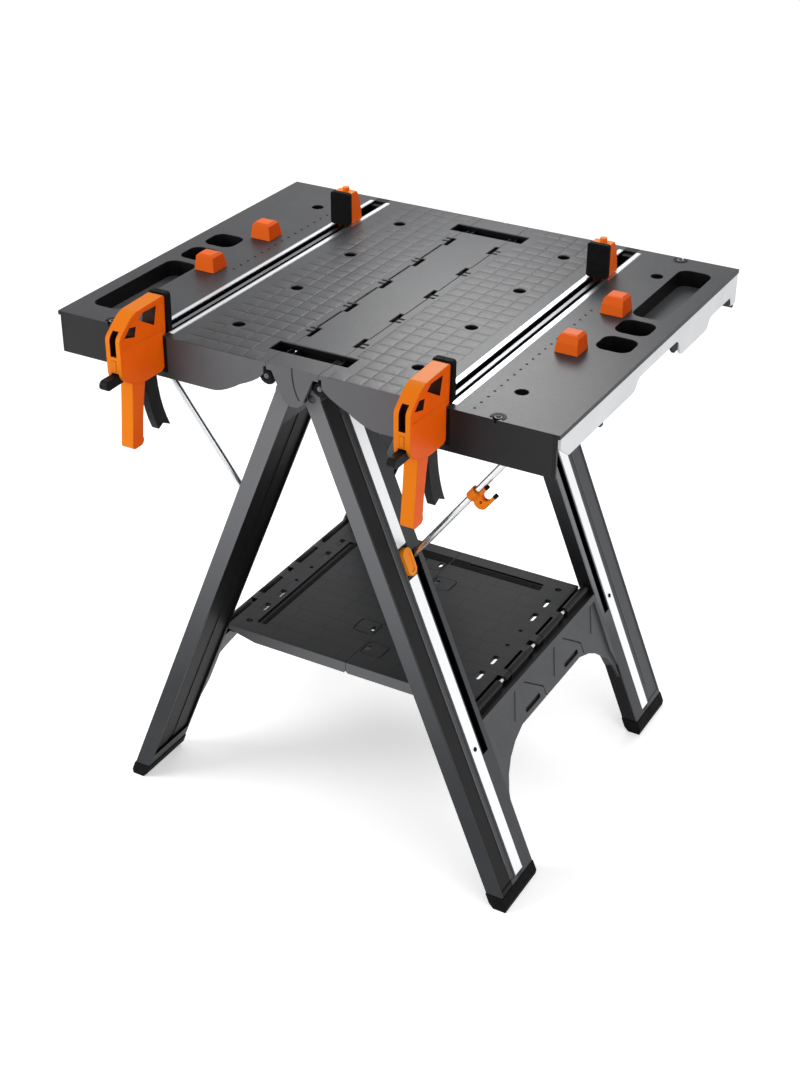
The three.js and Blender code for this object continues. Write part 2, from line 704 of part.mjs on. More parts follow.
function rails() {
  const through = [-RAIL_REACH - LAP, RAIL_REACH + LAP];
  const floor = RAIL_BOTTOM + RAIL_FLOOR;
  const groove = RAIL_GROOVE / 2;
  for (const side of SIDES) {
    const x = signOf(side) * RAIL_X;
    let body = box(around(x, RAIL_WIDTH), [-RAIL_REACH, RAIL_REACH], [RAIL_BOTTOM, TOP_HEIGHT]);
    body = cut(body, box(around(x, RAIL_GROOVE), through, [floor, TOP_HEIGHT + LAP]));
    for (const hand of ENDS) {
      const lane = span(x + hand * (groove + RAIL_WALL), x + hand * (RAIL_WIDTH / 2 - RAIL_WALL));
      body = cut(body, box(lane, through, [floor, TOP_HEIGHT - RAIL_LID]));
    }
    node(`${side}_rail`, body, ALUMINIUM);
    const tongue = [RAIL_REACH - CAP_TONGUE, RAIL_REACH + LAP];
    const cap = join(
      box(around(x, RAIL_GROOVE), [RAIL_REACH + FIT, HALF_D], [floor + FIT, TOP_HEIGHT]),
      box(around(x, RAIL_GROOVE - 2 * FIT), tongue, [floor + FIT, TOP_HEIGHT - CAP_DROP]),
    );
    node(`${side}_rail_cap`, cap, BLACK);
  }
}

// Side apron under the outer edge, with a waved lower edge
function apron(side) {
  const top = PLATE_BOTTOM - FIT;
  const front = SKIRT_WALL + FIT - HALF_D;
  const back = HALF_D - SKIRT_WALL - FIT;
  const at = (depth) => TOP_HEIGHT - depth;
  const shape = new THREE.Shape();
  const step = (toBack, from, to) => {
    const y = HALF_D - toBack;
    shape.lineTo(y - APRON_ROUND, at(from));
    shape.quadraticCurveTo(y - APRON_ROUND / 4, at(from), y, at((from + to) / 2));
    shape.quadraticCurveTo(y + APRON_ROUND / 4, at(to), y + APRON_ROUND, at(to));
  };
  shape.moveTo(front, top);
  shape.lineTo(front, at(APRON_CORNER));
  shape.lineTo(front + APRON_NOTCH, at(APRON_FRONT));
  step(NECK_TO_BACK, APRON_FRONT, APRON_NECK);
  step(LOBE_TO_BACK, APRON_NECK, APRON_LOBE);
  step(BACK_TO_BACK, APRON_LOBE, APRON_BACK);
  shape.lineTo(HALF_D - APRON_TAIL - APRON_TAIL_SLOPE, at(APRON_BACK));
  shape.lineTo(HALF_D - APRON_TAIL, at(APRON_LOBE));
  shape.lineTo(back, at(APRON_LOBE));
  shape.lineTo(back, top);
  node(`${side}_apron`, prismX(shape, [HALF_W - APRON_WALL + FIT, HALF_W]), PALE_GREY, sideGroup(side));
}

// Pistol-grip clamp docked at the front end of a rail. Local Y is 0 at the front edge of the top
function clamp(side) {
  const group = new THREE.Group();
  group.position.set(signOf(side) * RAIL_X, -HALF_D, 0);
  bench.add(group);
  const half = CLAMP_THICK / 2;
  const through = [-half - LAP, half + LAP];
  const fromTop = (points) => outline(points.map(([inward, down]) => [-inward, CLAMP_TOP - down]));
  const channel = around(0, BAR_THICK + 2 * FIT);
  const barRoom = [BAR_BOTTOM - FIT, BAR_TOP + FIT];
  const noseTop = CLAMP_TOP - NOSE_SLOT_BELOW;
  const leverRoom = around(LEVER_Z, 2 * LEVER_ROOM);
  const leverSlot = [-CLAMP_FRONT - LAP, LEVER_ROOT + 2 * LAP - CLAMP_FRONT];
  const tongue = [BAR_BOTTOM - TONGUE_DROP, TOP_HEIGHT - FIT];
  let body = join(
    prismX(clampProfile(), [-half, half]),
    prismX(handleShape(), around(0, HANDLE_THICK)),
    box(around(0, RAIL_GROOVE - 2 * FIT), [-2 * LAP, TONGUE_LENGTH], tongue),
  );
  body = cut(
    body,
    prismX(fromTop(FACE_OUTLINE), [half - FACE_RECESS, half + LAP]),
    prismX(fromTop(FACE_OUTLINE), [-half - LAP, FACE_RECESS - half]),
    prismX(fromTop(UPPER_WINDOW), through),
    prismX(fromTop(LOWER_WINDOW), through),
    box(channel, [-CLAMP_FRONT - LAP, TONGUE_LENGTH + LAP], barRoom),
    box(around(0, NOSE_SLOT_WIDTH), [-CLAMP_FRONT - LAP, NOSE_SLOT_DEPTH - CLAMP_FRONT],
      [noseTop - NOSE_SLOT_LENGTH, noseTop]),
    prismX(triggerRoom(), around(0, TRIGGER_THICK + 2 * FIT)),
    box(around(0, LEVER_THICK + 2 * FIT), leverSlot, leverRoom),
  );
  node(`${side}_clamp_body`, body, ORANGE, group);
  node(`${side}_front_pad`, frontPad(), BLACK, group);
  node(`${side}_trigger`, trigger(), BLACK, group);
  node(`${side}_release_lever`, releaseLever(), BLACK, group);
  const padFront = 2 * HALF_D - TAIL_TO_BACK;
  const jawFront = padFront + TAIL_PAD_THICK + FIT;
  const jawBack = jawFront + TAIL_DEPTH;
  const stopEnd = BAR_STOP - CLAMP_FRONT;
  const bar = around(0, BAR_THICK);
  const barHeight = [BAR_BOTTOM, BAR_TOP];
  const padHeight = [TOP_HEIGHT + PAD_LIFT, TOP_HEIGHT + TAIL_TOP];
  const padShape = roundRect(around(0, TAIL_PAD_WIDTH), padHeight, CLAMP_ROUND);
  const stop = box(bar, [-CLAMP_FRONT - BAR_STOP_PROUD, stopEnd - FIT], barHeight);
  node(`${side}_clamp_bar`, box(bar, [stopEnd, jawBack - TAIL_WALL], barHeight), STEEL, group);
  node(`${side}_bar_stop`, stop, ORANGE, group);
  node(`${side}_tail_jaw`, tailJaw(jawFront, jawBack), ORANGE, group);
  node(`${side}_tail_pad`, prismY(padShape, [padFront, padFront + TAIL_PAD_THICK], COARSE), BLACK, group);
}

function clampProfile() {
  const front = -CLAMP_FRONT;
  const r = CLAMP_ROUND;
  const nose = CLAMP_TOP - NOSE_DROP;
  const chin = CLAMP_BOTTOM + CHIN_RISE;
  const shape = new THREE.Shape();
  shape.moveTo(-LAP, CLAMP_BOTTOM + r);
  shape.lineTo(-LAP, TOP_HEIGHT + PAD_LIFT);
  shape.lineTo(JAW_REACH - r / 2, TOP_HEIGHT + r);
  shape.lineTo(JAW_REACH, CLAMP_TOP - r);
  shape.quadraticCurveTo(JAW_REACH, CLAMP_TOP, JAW_REACH - r, CLAMP_TOP);
  shape.lineTo(-CLAMP_BEND, CLAMP_TOP - r / 2);
  shape.quadraticCurveTo(-CLAMP_BEND - 2.5 * r, CLAMP_TOP - r, -CLAMP_BEND - 4.5 * r, CLAMP_TOP - 2.5 * r);
  shape.lineTo(front + r, nose);
  shape.quadraticCurveTo(front, nose - r, front, nose - 2 * r);
  shape.lineTo(front, chin);
  shape.quadraticCurveTo(front, chin - 2.5 * r, front + 2.5 * r, chin - 4 * r);
  shape.lineTo(front + 7 * r, CLAMP_BOTTOM + r);
  shape.lineTo(2.5 * r - CLAMP_BEND, CLAMP_BOTTOM);
  shape.lineTo(-1.5 * r, CLAMP_BOTTOM);
  return shape;
}

// The handle leans forward and ends in a heel
function handleShape() {
  const front = HANDLE_IN - CLAMP_FRONT;
  const back = front + HANDLE_WIDTH;
  const top = CLAMP_BOTTOM + 3 * CLAMP_ROUND;
  const bottom = CLAMP_BOTTOM - HANDLE_LENGTH;
  const waist = CLAMP_BOTTOM - HANDLE_LENGTH * 0.43;
  const toe = front - HANDLE_LEAN;
  const heel = back - HANDLE_LEAN - HANDLE_HEEL;
  const shape = new THREE.Shape();
  shape.moveTo(front, top);
  shape.quadraticCurveTo(front - HANDLE_LEAN * 0.4, waist, toe, bottom + HANDLE_HEEL);
  shape.quadraticCurveTo(toe, bottom, toe + HANDLE_HEEL, bottom);
  shape.lineTo(heel - HANDLE_HEEL * 0.7, bottom);
  shape.quadraticCurveTo(heel + HANDLE_HEEL * 0.7, bottom + HANDLE_HEEL / 2, heel, bottom + 2 * HANDLE_HEEL);
  shape.quadraticCurveTo(heel + HANDLE_HEEL / 2, waist, back, top);
  return shape;
}

// The room that the trigger's head needs inside the clamp body
function triggerRoom() {
  const y = -TRIGGER_TO_EDGE;
  const low = TRIGGER_Z - TRIGGER_ROOM - TRIGGER_RISE - LAP;
  const high = TRIGGER_Z + TRIGGER_ROOM - TRIGGER_RISE - FIT;
  const near = y + TRIGGER_ROOM;
  const far = y - TRIGGER_ROOM;
  return outline([[far, low], [near, low], [near, high], [far, high]]);
}

function trigger() {
  const y = -TRIGGER_TO_EDGE;
  const z = TRIGGER_Z;
  const tip = z - TRIGGER_LENGTH;
  const knee = z - TRIGGER_LENGTH * 0.6;
  const shoulder = z - TRIGGER_LENGTH * 0.09;
  const crown = z + TRIGGER_HEAD * 0.8;
  const shape = new THREE.Shape();
  shape.moveTo(y - TRIGGER_HEAD, crown);
  shape.lineTo(y - TRIGGER_SHOULDER, shoulder);
  shape.quadraticCurveTo(y - TRIGGER_SHOULDER * 0.8, knee, y + TRIGGER_SWEEP * 0.24, tip);
  shape.lineTo(y + TRIGGER_SWEEP * 0.53, tip + TRIGGER_LENGTH * 0.054);
  shape.lineTo(y + TRIGGER_SWEEP, tip - TRIGGER_LENGTH * 0.043);
  shape.quadraticCurveTo(y + TRIGGER_SWEEP * 0.42, knee, y + TRIGGER_SHOULDER, shoulder);
  shape.lineTo(y + TRIGGER_HEAD, crown);
  return prismX(shape, around(0, TRIGGER_THICK), SMOOTH);
}

function releaseLever() {
  const root = LEVER_ROOT - CLAMP_FRONT;
  const r = LEVER_THICK / 2;
  const tipRadius = r + LAP;
  const tip = tipRadius - CLAMP_FRONT - LEVER_LENGTH;
  const shape = new THREE.Shape();
  shape.moveTo(root, LEVER_Z + r);
  shape.lineTo(tip, LEVER_Z + tipRadius);
  shape.absarc(tip, LEVER_Z, tipRadius, Math.PI / 2, Math.PI * 1.5);
  shape.lineTo(root, LEVER_Z - r);
  return prismX(shape, around(0, LEVER_THICK), SMOOTH);
}

function frontPad() {
  const front = JAW_REACH + FIT;
  const shape = roundRect(around(0, PAD_WIDTH), [TOP_HEIGHT + PAD_LIFT, CLAMP_TOP + PAD_ABOVE], CLAMP_ROUND);
  return prismY(shape, [front, front + PAD_THICK], COARSE);
}

function tailJaw(front, back) {
  const top = TOP_HEIGHT + TAIL_TOP - CLAMP_ROUND / 2;
  const base = TOP_HEIGHT + PAD_LIFT;
  const shape = new THREE.Shape();
  shape.moveTo(front, base);
  shape.lineTo(back, base);
  shape.lineTo(back - CLAMP_ROUND / 2, base + TAIL_TOP * 0.3);
  shape.quadraticCurveTo(back - TAIL_DEPTH * 0.18, top - TAIL_TOP * 0.15, back - TAIL_DEPTH * 0.47, top);
  shape.lineTo(front, top);
  const runner = [front + 2 * LAP, back - TAIL_WALL + LAP];
  const body = join(
    prismX(shape, around(0, PAD_WIDTH)),
    box(around(0, RAIL_GROOVE - 2 * LAP), runner, [BAR_BOTTOM - TONGUE_DROP, base + LAP]),
    rodZ(KNOB, 0, front + KNOB, [top - KNOB_RISE, top + KNOB_RISE]),
  );
  const channel = [front - LAP, back - TAIL_WALL + FIT];
  return cut(body, box(around(0, BAR_THICK + 2 * FIT), channel, [BAR_BOTTOM - FIT, BAR_TOP + FIT]));
}

// Bench dog: a tapered block with a sloped front on a round shank
function dog(side, end) {
  const half = DOG / 2;
  const base = TOP_HEIGHT + FIT;
  const top = base + DOG_HEIGHT;
  const shoulder = half - DOG_TAPER;
  const profile = new THREE.Shape();
  profile.moveTo(-half, base);
  profile.lineTo(half, base);
  profile.lineTo(shoulder, top - DOG_ROUND);
  profile.quadraticCurveTo(shoulder, top, shoulder - DOG_ROUND, top);
  profile.lineTo(DOG_SLOPE - half, top);
  profile.quadraticCurveTo(DOG_SLOPE / 2 - half, top, DOG_TAPER - half, top - DOG_SLOPE);
  const flanks = outline([
    [-half, base], [half, base], [shoulder, top - DOG_ROUND], [shoulder - DOG_ROUND, top],
    [DOG_ROUND - shoulder, top], [-shoulder, top - DOG_ROUND]]);
  const block = prismX(profile, [-half, half]).intersect(prismY(flanks, [-half, half]));
  const shank = rodZ(HOLE - DOG_SHANK_FIT, 0, 0, [TOP_HEIGHT - DOG_SHANK, base + LAP], HOLE_ROUND);
  const group = new THREE.Group();
  group.position.set(WING_HOLE_X, (end * HOLE_PITCH) / 2, 0);
  sideGroup(side).add(group);
  node(`${endName(side, end)}_${side}_dog`, join(block, shank), ORANGE, group);
}

// One leg of a frame: a moulded channel, open towards the inside, with a brace slot in its outer wall
function leg(side, end) {
  const parent = sideGroup(side);
  const name = `${endName(side, end)}_${side}`;
  const hasButton = endName(side, end) === 'front';
  const ends = (from, to) => span(end * from, end * to);
  const centred = (y, width) => around(end * y, width);
  const full = ends(LEG_INNER, LEG_OUTER);
  const footAlong = alongAt(FOOT_HEIGHT, 0);
  const pocketEnd = footAlong - LEG_SOLID_END;
  const stripeEnd = alongAt(FOOT_HEIGHT, HALF_LEG) - STRIPE_TO_FOOT;
  const bandY = ends(STRIPE_Y + STRIPE_WIDTH / 2 + BAND_EDGE, LEG_OUTER - BAND_EDGE);
  const stripeFloor = HALF_LEG - STRIPE_THICK + FIT;
  const stripeBed = legBand([STRIPE_START - FIT, stripeEnd + FIT], [stripeFloor, LEG_THICK]);
  const shape = outline([
    legPoint(0, -HALF_LEG), legPoint(alongAt(FOOT_HEIGHT, -HALF_LEG), -HALF_LEG),
    legPoint(alongAt(FOOT_HEIGHT, HALF_LEG), HALF_LEG), legPoint(0, HALF_LEG)]);
  const pocket = legBand([LEG_SOLID_TOP, pocketEnd], [-LEG_THICK, HALF_LEG - LEG_WALL]);
  let body = join(prismY(shape, full), rodY(LEG_HEAD, PIVOT_X, PIVOT_Z, full, HEAD_ROUND));
  body = cut(
    body,
    prismY(pocket, ends(LEG_INNER + LEG_WALL, LEG_OUTER - LEG_WALL)),
    prismY(legBand([SLOT_START, SLOT_END], [0, LEG_THICK]), centred(BRACE_Y, SLOT_WIDTH)),
    prismY(legBand([BAND_START, stripeEnd], [HALF_LEG - BAND_RECESS, LEG_THICK]), bandY),
    prismY(stripeBed, centred(STRIPE_Y, STRIPE_WIDTH + 2 * FIT)),
    rodY(PIVOT_PIN + 2 * FIT, PIVOT_X, PIVOT_Z, [full[0] - LAP, full[1] + LAP]),
  );
  const ribTop = HALF_LEG - LEG_WALL;
  const rib = legBand([LEG_SOLID_TOP - LAP, pocketEnd + LAP], [ribTop - LEG_RIB, ribTop + LAP]);
  for (const hand of ENDS) {
    body = join(body, prismY(rib, centred(LEG_MIDDLE + (hand * LEG_RIB_APART) / 2, RIB_WALL)));
  }
  const buttonFrom = SLOT_START - BUTTON_ABOVE_SLOT;
  const buttonTo = buttonFrom + BUTTON_LENGTH;
  if (hasButton) {
    const well = legBand([buttonFrom - FIT, buttonTo + FIT], [-LAP, LEG_THICK]);
    body = cut(body, prismY(well, centred(STRIPE_Y, BUTTON_WIDTH + 2 * FIT)));
  }
  node(`${name}_leg`, body, LEG_GREY, parent);
  const strip = (from, to) => {
    const band = legBand([from, to], [stripeFloor + FIT, HALF_LEG + FIT]);
    return prismY(band, centred(STRIPE_Y, STRIPE_WIDTH));
  };
  if (hasButton) {
    node(`${name}_upper_stripe`, strip(STRIPE_START, buttonFrom - STRIPE_TO_BUTTON), ALUMINIUM, parent);
    node(`${name}_lower_stripe`, strip(buttonTo + STRIPE_TO_BUTTON, stripeEnd), ALUMINIUM, parent);
    lockButton(name, parent, end, (buttonFrom + buttonTo) / 2);
  } else {
    node(`${name}_stripe`, strip(STRIPE_START, stripeEnd), ALUMINIUM, parent);
  }
  foot(name, parent, end);
}

// Oval push button, modelled flat and then laid on the outer face of the leg
function lockButton(name, parent, end, along) {
  const group = new THREE.Group();
  const [x, z] = legPoint(along, HALF_LEG);
  group.position.set(x, end * STRIPE_Y, z);
  group.rotation.y = Math.PI / 2 - LEG_ANGLE;
  parent.add(group);
  const oval = (rim) => {
    const width = BUTTON_WIDTH - 2 * rim;
    return roundRect(around(0, BUTTON_LENGTH - 2 * rim), around(0, width), width / 2 - LAP);
  };
  const body = cut(
    join(
      prismZ(oval(0), [-LEG_WALL, BUTTON_PROUD], COARSE),
      prismZ(oval(BUTTON_RIM / 2), [-BUTTON_STEM, 0], SINGLE),
    ),
    prismZ(oval(BUTTON_RIM), [BUTTON_PROUD - BUTTON_DISH, BUTTON_PROUD + LAP], SINGLE),
  );
  node(`${name}_lock_button`, body, ORANGE, group);
}

// Rubber foot: a shoe under the leg, chamfered at the floor
function foot(name, parent, end) {
  const top = FOOT_HEIGHT - FIT;
  const off = HALF_LEG + FOOT_LIP;
  const at = (z, side) => legPoint(alongAt(z, side), side);
  const chamfer = FOOT_CHAMFER / 2;
  const shape = outline([
    at(0, chamfer - off), at(0, off - chamfer), at(FOOT_CHAMFER, off),
    at(top, off), at(top, -off), at(FOOT_CHAMFER, -off)]);
  const y = span(end * (LEG_INNER - FOOT_LIP), end * (LEG_OUTER + FOOT_LIP));
  node(`${name}_foot`, prismY(shape, y), BLACK, parent);
}

// A prism on the slanted plane of a leg frame: the outline is in Y and along the leg
function laid(shape, [off0, off1], segments = SINGLE) {
  const out = new THREE.Vector3(Math.cos(LEG_ANGLE), 0, Math.sin(LEG_ANGLE));
  const down = new THREE.Vector3(Math.sin(LEG_ANGLE), 0, -Math.cos(LEG_ANGLE));
  const toLeg = new THREE.Matrix4().makeBasis(new THREE.Vector3(0, 1, 0), down, out.clone().negate());
  toLeg.setPosition(PIVOT_X + out.x * off1, 0, PIVOT_Z + out.z * off1);
  return solid(extrude(shape, off1 - off0, segments).applyMatrix4(toLeg));
}

// Moulded cross panel between the legs of a frame, arched below
function crossPanel(side) {
  const reach = LEG_INNER - FIT;
  const topZ = KNUCKLE_Z - CROSS_TOP_DROP;
  const topAlong = alongAt(topZ, -HALF_LEG);
  const beamEnd = alongAt(topZ, 0) + CROSS_BEAM;
  const archAlong = alongAt(topZ, 0) + CROSS_HEIGHT;
  const sideAlong = archAlong + CROSS_ARCH_DROP;
  const archHalf = CROSS_ARCH / 2;
  const faceOff = HALF_LEG - CROSS_STEP;
  const shoulder = archAlong + CROSS_ARCH_DROP / 5;
  const face = new THREE.Shape();
  face.moveTo(-reach, topAlong);
  face.lineTo(reach, topAlong);
  face.lineTo(reach, sideAlong);
  face.quadraticCurveTo(reach - CROSS_ARCH_ROUND, shoulder, archHalf, archAlong);
  face.lineTo(-archHalf, archAlong);
  face.quadraticCurveTo(CROSS_ARCH_ROUND - reach, shoulder, -reach, sideAlong);
  const beam = outline([[-reach, topAlong], [reach, topAlong], [reach, beamEnd], [-reach, beamEnd]]);
  let body = join(laid(face, [faceOff - CROSS_PLATE, faceOff], SMOOTH), laid(beam, [-HALF_LEG, HALF_LEG]));
  for (const end of ENDS) {
    const inner = end * (reach - CROSS_POST);
    const post = outline([
      [inner, topAlong], [end * reach, topAlong], [end * reach, sideAlong - CROSS_HEIGHT / 3],
      [inner, sideAlong - CROSS_HEIGHT * 0.8]]);
    body = join(body, laid(post, [-HALF_LEG, HALF_LEG]));
  }
  for (const tool of crossCells(beamEnd, archAlong, faceOff)) {
    body = cut(body, tool);
  }
  body = body.intersect(box([0, HALF_W], [-reach - LAP, reach + LAP], [FOOT_HEIGHT, topZ]));
  if (side === 'right') {
    for (const [y, width] of knuckles()) {
      body = join(body, prismY(knuckleShape(topZ - 2 * LAP), around(y, width), MEDIUM));
    }
    const bore = [-reach - LAP, reach + LAP];
    body = cut(body, rodY(SHELF_PIN + 2 * FIT, KNUCKLE_X, KNUCKLE_Z, bore, BORE_ROUND));
  }
  node(`${side}_cross_panel`, body, DARK_GREY, sideGroup(side));
}

// Cutters for the repeated cells of a cross panel: triangular facets, keyhole pockets and stepped seams
function crossCells(beamEnd, archAlong, faceOff) {
  const tools = [];
  const above = faceOff + LAP;
  for (let i = 0; i < CELL_COUNT; i += 1) {
    const y = CELL_FIRST + i * CELL_PITCH;
    const facetTop = beamEnd + FACET_TOP - CROSS_BEAM / 2;
    const facetEnd = archAlong - CROSS_HEIGHT + FACET_BOTTOM;
    const facet = outline([[y, facetTop], [y + FACET_WIDTH, facetTop], [y + FACET_APEX, facetEnd]]);
    tools.push(laid(facet, [faceOff - FACET_DEPTH, above]));
    if (i < CELL_COUNT - 1) {
      const keyY = [y + KEYHOLE_IN, y + KEYHOLE_IN + KEYHOLE_LENGTH];
      const keyAlong = around(archAlong - KEYHOLE_UP, KEYHOLE_WIDTH);
      const keyhole = roundRect(keyY, keyAlong, KEYHOLE_WIDTH / 2 - FIT);
      tools.push(laid(keyhole, [faceOff - KEYHOLE_DEPTH, above]));
      const seamY = y + CELL_SEAM_IN;
      const seamEnd = seamY + CELL_SEAM_SHIFT;
      const bend = beamEnd + CELL_SEAM_TOP - CROSS_BEAM / 2;
      const low = archAlong - CROSS_HEIGHT + CELL_SEAM_BOTTOM;
      const route = [[seamY, beamEnd - LAP], [seamY, bend], [seamEnd, low], [seamEnd, archAlong + LAP]];
      for (let k = 0; k < route.length - 1; k += 1) {
        tools.push(laid(bandBetween(route[k], route[k + 1], SEAM_WIDTH), [faceOff - SEAM_DEPTH, above]));
      }
    }
  }
  return tools;
}

// Hinge barrels of the cross panel as their middles and widths
function knuckles() {
  const places = [[INNER_KNUCKLE_Y, INNER_KNUCKLE], [OUTER_KNUCKLE_Y, OUTER_KNUCKLE]];
  return ENDS.flatMap((end) => places.map(([y, width]) => [end * y, width]));
}

// The eyes of the shelf sit on both sides of the inner barrels
function shelfEyes() {
  const step = INNER_KNUCKLE / 2 + KNUCKLE_GAP + SHELF_EYE / 2;
  return ENDS.flatMap((end) => [end * (INNER_KNUCKLE_Y - step), end * (INNER_KNUCKLE_Y + step)]);
}

function knuckleShape(bottom) {
  const r = KNUCKLE_EYE / 2;
  const shape = new THREE.Shape();
  shape.moveTo(KNUCKLE_X - r, bottom);
  shape.lineTo(KNUCKLE_X + r, bottom);
  shape.lineTo(KNUCKLE_X + r, KNUCKLE_Z);
  shape.absarc(KNUCKLE_X, KNUCKLE_Z, r, 0, Math.PI);
  return shape;
}

function shelfEyeShape(from) {
  const r = KNUCKLE_EYE / 2 - KNUCKLE_GAP;
  const shape = new THREE.Shape();
  shape.moveTo(from, SHELF_TOP - SHELF_FLANGE);
  shape.lineTo(KNUCKLE_X, KNUCKLE_Z - r);
  shape.absarc(KNUCKLE_X, KNUCKLE_Z, r, -Math.PI / 2, Math.PI / 2);
  shape.lineTo(from, SHELF_TOP);
  return shape;
}

// Shelf half: a flat tray, hollow and ribbed below, with a thin pierced flange at the leg frame
function shelfHalf(side) {
  const flangeStart = KNUCKLE_X - SHELF_FLANGE_LENGTH;
  const flangeEnd = KNUCKLE_X - KNUCKLE_EYE / 2 - SHELF_TO_KNUCKLE;
  const half = SHELF_HALF_DEPTH;
  const under = SHELF_TOP - SHELF_FLOOR;
  const flangeBottom = SHELF_TOP - SHELF_FLANGE;
  const inside = half - SHELF_WALL;
  let body = cut(
    box([FIT, flangeStart], [-half, half], [MID_Z, SHELF_TOP]),
    box([SHELF_WALL, flangeStart - SHELF_WALL], [-inside, inside], [MID_Z - LAP, under]),
  );
  body = join(body, box([flangeStart - LAP, flangeEnd], [-half, half], [flangeBottom, SHELF_TOP]));
  for (const end of ENDS) {
    const web = outline([
      [flangeStart - LAP, MID_Z], [flangeEnd, flangeBottom], [flangeEnd, SHELF_TOP],
      [flangeStart - LAP, SHELF_TOP]]);
    const ribX = [SHELF_WALL - LAP, flangeStart - SHELF_WALL + LAP];
    const rib = box(ribX, around((end * half) / 3, RIB_WALL), [MID_Z, under + LAP]);
    body = join(body, prismY(web, span(end * inside, end * half)), rib);
  }
  for (const y of shelfEyes()) {
    body = join(body, prismY(shelfEyeShape(flangeEnd - LAP), around(y, SHELF_EYE), MEDIUM));
  }
  body = cut(body, ...flangeHoles(flangeStart + FLANGE_HOLE_IN), shelfTrough(side, flangeStart));
  for (const y of LATCH_Y) {
    body = cut(body, latchGroove(y), latchHole(y));
  }
  body = cut(body, rodY(SHELF_PIN + 2 * FIT, KNUCKLE_X, KNUCKLE_Z, [-half, half], BORE_ROUND));
  const eye = MID_EYE / 2;
  for (const y of midPlaces(side)) {
    const lug = box([-LAP, SHELF_WALL + LAP], around(y, MID_WIDTH), [MID_Z, MID_Z + eye]);
    body = join(body, rodY(MID_EYE, 0, MID_Z, around(y, MID_WIDTH), BORE_ROUND), lug);
  }
  for (const y of midPlaces(side === 'right' ? 'left' : 'right')) {
    const room = eye + MID_ROOM;
    body = cut(body, box([-room, room], around(-y, MID_WIDTH + MID_GAP / 2), [MID_Z - room, MID_Z + room]));
  }
  body = cut(body, rodY(MID_PIN + 2 * FIT, 0, MID_Z, [-half - LAP, half + LAP], BORE_ROUND));
  node(`${side}_shelf`, body, DARK_GREY, sideGroup(side));
}

// The flange is pierced in a row: a round hole at each corner, then two slots, and two dots in the middle
function flangeHoles(x) {
  const through = [SHELF_TOP - SHELF_FLANGE - LAP, SHELF_TOP + LAP];
  const slotX = around(x, FLANGE_SLOT_WIDTH);
  const slot = (y) => roundRect(slotX, around(y, FLANGE_SLOT), FLANGE_SLOT_WIDTH / 2 - LAP);
  return pattern(FLANGE_HOLE_COUNT, FLANGE_HOLE_PITCH).map((y, i) => {
    const fromEnd = Math.min(i, FLANGE_HOLE_COUNT - 1 - i);
    if (fromEnd === 0) {
      return rodZ(FLANGE_CORNER_HOLE, x, y, through, BORE_ROUND);
    }
    if (fromEnd > FLANGE_SLOTS) {
      return rodZ(FLANGE_DOT, x, y, through, DOT_ROUND);
    }
    return prismZ(slot(y), through, SINGLE);
  });
}

// A shallow trough along the back edge of the right half, and beside the flange of the left half
function shelfTrough(side, flangeStart) {
  const depth = [SHELF_TOP - TROUGH_DEPTH, SHELF_TOP + LAP];
  const r = TROUGH_WIDTH / 2 - FIT;
  const reach = SHELF_HALF_DEPTH - TROUGH_TO_EDGE;
  if (side === 'right') {
    const along = [TROUGH_START, flangeStart - LAP];
    return prismZ(roundRect(along, around(reach, TROUGH_WIDTH), r), depth, SINGLE);
  }
  const x = flangeStart + TROUGH_WIDTH;
  return prismZ(roundRect(around(x, TROUGH_WIDTH), [TROUGH_INSET - reach, reach], r), depth, SINGLE);
}

// Outline of a latch cover beside the middle hinge, and its finger hole
function latchGroove(y) {
  const x = [SHELF_WALL / 2, SHELF_WALL / 2 + LATCH_LENGTH];
  const g = LATCH_GROOVE;
  const depth = [SHELF_TOP - g, SHELF_TOP + LAP];
  const yy = around(y, LATCH_WIDTH);
  const corner = LATCH_WIDTH / 5;
  const inner = roundRect(grown(x, -g), grown(yy, -g), corner - g);
  return cut(prismZ(roundRect(x, yy, corner), depth, SINGLE), prismZ(inner, grown(depth, LAP), SINGLE));
}

function latchHole(y) {
  const x = [SHELF_WALL + LATCH_GROOVE, SHELF_WALL + LATCH_GROOVE + LATCH_HOLE_WIDTH];
  const shape = roundRect(x, around(y, LATCH_HOLE), LATCH_HOLE_WIDTH / 2 - FIT);
  return prismZ(shape, [SHELF_TOP - SHELF_FLOOR - LAP, SHELF_TOP + LAP], SINGLE);
}

// Hinge eyes at the middle of the shelf, in each half's own turned frame: they lie side by side
function midPlaces(side) {
  return side === 'right' ? MID_Y : MID_Y.map((y) => -(y + MID_WIDTH + MID_GAP));
}

function shelfPins() {
  const half = SHELF_HALF_DEPTH - SHELF_PIN_INSET;
  node('shelf_middle_pin', rodY(MID_PIN, 0, MID_Z, [-half, half]), STEEL);
  node('shelf_side_pin', rodY(SHELF_PIN, KNUCKLE_X, KNUCKLE_Z, [-half, half]), STEEL);
}

